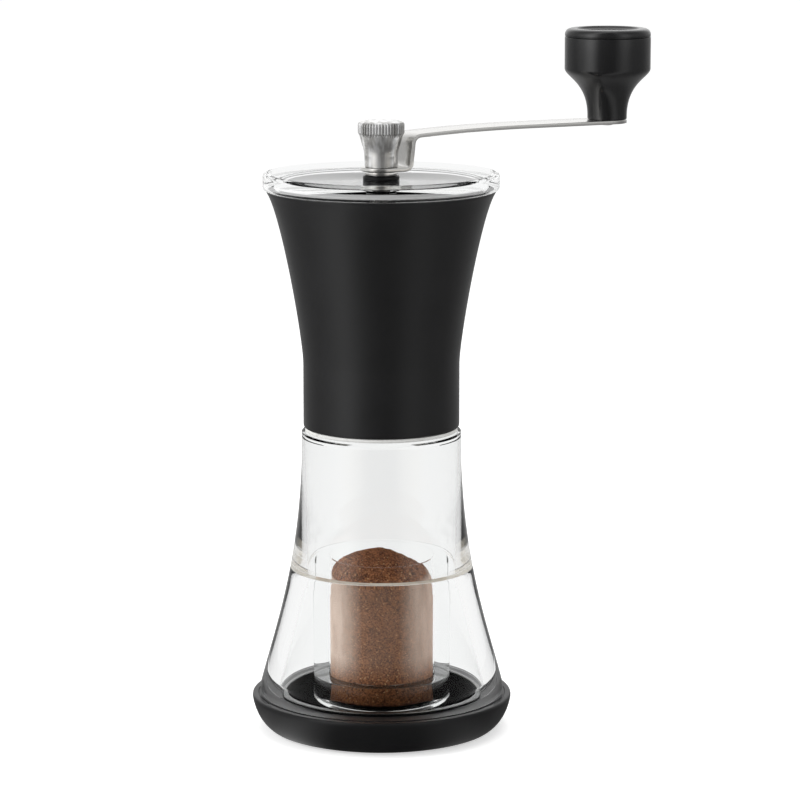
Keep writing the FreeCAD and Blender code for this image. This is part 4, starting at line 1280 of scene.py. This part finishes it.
class MILL_OT_knob(Piece, bpy.types.Operator):
    """Black turned knob and its dished cap"""
    bl_idname = "mill.knob"
    bl_label = "Crank knob"

    def execute(self, context):
        tint = context.scene.mill_colours
        black = moulded("satin_black_knob", tint.black, 0.20, 0.4, 0.003, shine=0.9)
        foot = KNOB_FOOT
        top = KNOB_TOP
        seam = foot + 28.7
        foot_radius = 6.9
        bore = 3.05
        washer_room = 5.5
        pocket = 6.5
        cavity = KNOB_RADIUS - 3.4
        seam_radius = KNOB_RADIUS - 0.3
        outline = [
            (bore, foot + 0.6), (washer_room, foot + 0.6), (washer_room, foot),
            (foot_radius, foot, 0.3), (foot_radius, foot + 1.0),
            *curve(
                (foot_radius, foot + 1.0), (foot_radius, foot + 12.9), (KNOB_RADIUS, foot + 14.6),
                (KNOB_RADIUS, foot + 17.7), steps=36),
            (KNOB_RADIUS, seam - 0.15, 0.2), (seam_radius, seam), (cavity, seam),
            (cavity, seam - 3.0), (pocket, seam - 3.0), (pocket, foot + 22.5), (bore, foot + 22.5),
        ]
        place(
            turned("black_knob", outline, CRANK_RADIUS), "knob", "knob_black", black,
            "crank_knob")
        plug = cavity - 0.15
        dish = 11.0
        cap = [
            (0, seam - 2.0), (plug, seam - 2.0), (plug, seam), (seam_radius, seam),
            (KNOB_RADIUS - 0.1, seam + 0.15),
            *curve(
                (KNOB_RADIUS - 0.05, seam + 0.2), (KNOB_RADIUS + 0.05, seam + 1.6),
                (KNOB_RADIUS - 0.3, top), (KNOB_RADIUS - 2.7, top), steps=14),
            (dish, top, 0.4),
            *curve((dish - 0.4, top - 0.25), (dish - 1.1, top - 1.0), (8.2, top - 1.0), steps=10),
            (0, top - 1.0),
        ]
        place(
            turned("black_knob_cap", cap, CRANK_RADIUS), "knob", "knob_black", black, "knob_cap")
        return {"FINISHED"}


# The room round the mill, all the way round from behind the mill: the turn from the camera in
# degrees, leftwards below zero, and the brightness that gloss and clear walls find there
GLOSS_ROOM = (
    (-165, 1.0), (-130, 0.5), (-100, 0.35), (-76, 0.65), (-50, 1.5), (-22, 0.18), (14, 0.12),
    (45, 0.65), (72, 0.3), (100, 0.28), (140, 0.55), (165, 1.0))
CLEAR_ROOM = (
    (-75, 0.96), (-55, 0.80), (-38, 0.55), (-16, 0.06), (16, 0.06), (38, 0.55), (55, 0.80),
    (75, 0.96))
CLEAR_STRAIGHT = (0.96, 0.96, 0.96, 1.0)
WHITE = (1.0, 1.0, 1.0, 1.0)
BEIGE = (1.0, 0.955, 0.885, 1.0)


def aim(obj, target):
    """Turn a lamp or camera towards a point."""
    obj.rotation_euler = (Vector(target) - obj.location).to_track_quat("-Z", "Y").to_euler()


def panorama(wiring, turn, direction, room):
    """Brightness of a room in a direction, with beige half shade in the clear one."""
    across = wiring.along(direction, turn @ Vector((1, 0, 0)))
    ahead = wiring.along(direction, turn @ Vector((0, -1, 0)))
    angle = wiring.join(across, ahead, "ARCTAN2")
    ramp = wiring.add("ShaderNodeValToRGB", {
        "Fac": wiring.spread(angle, 0.0, 1.0, -math.pi, math.pi)})
    ramp.color_ramp.interpolation = "EASE"
    stops = ramp.color_ramp.elements
    while len(stops) < len(room):
        stops.new(0.5)
    for stop, (degrees, bright) in zip(stops, room):
        half_shade = room is CLEAR_ROOM and 0.3 < bright < 0.9
        stop.position = 0.5 + degrees / 360
        stop.color = [bright * part for part in (BEIGE if half_shade else WHITE)]
    return ramp.outputs["Color"]


def seen_room(wiring, turn, direction):
    """The room as a gloss ray or a ray out of clear plastic finds it.

    A ray that went straight through the clear walls to the camera finds plain white.
    """
    path = wiring.add("ShaderNodeLightPath").outputs
    rise = wiring.add("ShaderNodeSeparateXYZ", {"Vector": direction}).outputs["Z"]
    gloss = wiring.blend(
        wiring.spread(rise, 0.0, 0.25, 0.40, 0.62), panorama(wiring, turn, direction, GLOSS_ROOM),
        (0, 0, 0, 1))
    bounced = wiring.join(path["Glossy Depth"], path["Diffuse Depth"], "MAXIMUM")
    mirrored = wiring.spread(bounced, 0.0, 1.0, 0.2, 0.8)
    clear = wiring.blend(
        mirrored, CLEAR_STRAIGHT, panorama(wiring, turn, direction, CLEAR_ROOM))
    return wiring.blend(path["Is Transmission Ray"], gloss, clear)


def surroundings(scene, stage, turn):
    """An even white room to the camera, and the shaded room to gloss and clear walls."""
    world = bpy.data.worlds.new("studio_world")
    scene.world = world
    world.use_nodes = True
    wiring = Wiring(world.node_tree)
    ray = wiring.add("ShaderNodeTexCoord").outputs["Generated"]
    to_camera = wiring.add("ShaderNodeLightPath").outputs["Is Camera Ray"]
    plain = wiring.spread(to_camera, stage.world, 1.0)
    background = world.node_tree.nodes["Background"]
    background.inputs["Strength"].default_value = 1.0
    wiring.give(
        background.inputs["Color"],
        wiring.blend(wiring.sent_ray(), plain, seen_room(wiring, turn, ray)))


def floor_finish(stage, turn):
    """White floor that keeps the shadow, and that gloss sees as part of the shaded room."""
    finish = Finish("studio_floor_white")
    path = finish.add("ShaderNodeLightPath").outputs
    finish.set(
        Base_Color=(0.80, 0.80, 0.80, 1),
        Roughness=0.7,
        Specular_IOR_Level=0.0,
        Emission_Color=WHITE,
        Emission_Strength=finish.product(path["Is Camera Ray"], stage.floor),
    )
    spot = finish.add("ShaderNodeNewGeometry").outputs["Position"]
    room = finish.add("ShaderNodeEmission", {
        "Color": seen_room(finish, turn, spot),
        "Strength": finish.spread(path["Is Transmission Ray"], 0.55, 1.0, 0.0, 1.0)})
    finish.mix_in(finish.sent_ray(), room)
    return finish.material


class MILL_OT_stage(Piece, bpy.types.Operator):
    """Pale floor, soft lamps, even surroundings and the camera"""
    bl_idname = "mill.stage"
    bl_label = "Studio stage"

    def execute(self, context):
        stage = context.scene.mill_stage
        turn = Matrix.Rotation(stage.azimuth, 3, "Z")
        look = Vector(stage.look)

        camera = linked("mill_camera", bpy.data.cameras.new("mill_camera"))
        camera.data.lens = stage.lens
        camera.data.sensor_width = 36.0
        camera.data.clip_start = 0.01
        camera.location = look + turn @ Vector((
            0, -stage.distance * math.cos(stage.pitch), stage.distance * math.sin(stage.pitch)))
        aim(camera, look)
        context.scene.camera = camera

        lamps = (
            ("left_panel", (-0.90, -0.32, 0.45), (0.7, 0.9), 7.0),
            ("right_panel", (0.70, -0.66, 0.45), (0.25, 0.8), 1.6),
            ("top_panel", (0.05, 0.10, 1.10), (0.9, 0.9), 7.0),
        )
        middle = (0, 0, 0.12)
        for name, spot, size, power in lamps:
            lamp = linked(name, bpy.data.lights.new(name, "AREA"))
            lamp.data.shape = "RECTANGLE"
            lamp.data.size, lamp.data.size_y = size
            lamp.data.energy = power * stage.panels
            lamp.location = turn @ Vector(spot)
            aim(lamp, middle)
            lamp.visible_glossy = False
            lamp.visible_transmission = False

        half = 14.0
        mesh = bpy.data.meshes.new("studio_floor")
        mesh.from_pydata(
            [(-half, -half, 0), (half, -half, 0), (half, half, 0), (-half, half, 0)], [],
            [(0, 1, 2, 3)])
        floor = linked("studio_floor", mesh)
        dress(floor, floor_finish(stage, turn))

        surroundings(context.scene, stage, turn)
        context.scene.view_settings.view_transform = "Standard"
        return {"FINISHED"}


OPERATORS = (
    MILL_OT_base,
    MILL_OT_clear_housing,
    MILL_OT_cup,
    MILL_OT_coffee,
    MILL_OT_body,
    MILL_OT_lid,
    MILL_OT_shaft,
    MILL_OT_burrs,
    MILL_OT_arm,
    MILL_OT_nut,
    MILL_OT_knob,
    MILL_OT_stage,
)
GROUPS = (MillSizes, MillColours, MillStage)


class MILL_PT_panel(bpy.types.Panel):
    """Sizes, colours and the pieces to build"""
    bl_idname = "MILL_PT_panel"
    bl_label = "Coffee mill"
    bl_space_type = "VIEW_3D"
    bl_region_type = "UI"
    bl_category = "Mill"

    def draw(self, context):
        layout = self.layout
        for group in ("mill_sizes", "mill_colours", "mill_stage"):
            settings = getattr(context.scene, group)
            box = layout.box()
            for name in settings.__annotations__:
                box.prop(settings, name)
        for operator in OPERATORS:
            layout.operator(operator.bl_idname)


def register():
    for group in (*GROUPS, *OPERATORS, MILL_PT_panel):
        bpy.utils.register_class(group)
    bpy.types.Scene.mill_sizes = PointerProperty(type=MillSizes)
    bpy.types.Scene.mill_colours = PointerProperty(type=MillColours)
    bpy.types.Scene.mill_stage = PointerProperty(type=MillStage)


def unregister():
    for name in ("mill_sizes", "mill_colours", "mill_stage"):
        delattr(bpy.types.Scene, name)
    for group in (MILL_PT_panel, *reversed(OPERATORS), *reversed(GROUPS)):
        bpy.utils.unregister_class(group)


def main():
    register()
    for operator in OPERATORS:
        group, name = operator.bl_idname.split(".")
        getattr(getattr(bpy.ops, group), name)()


if __name__ == "__main__":
    main()
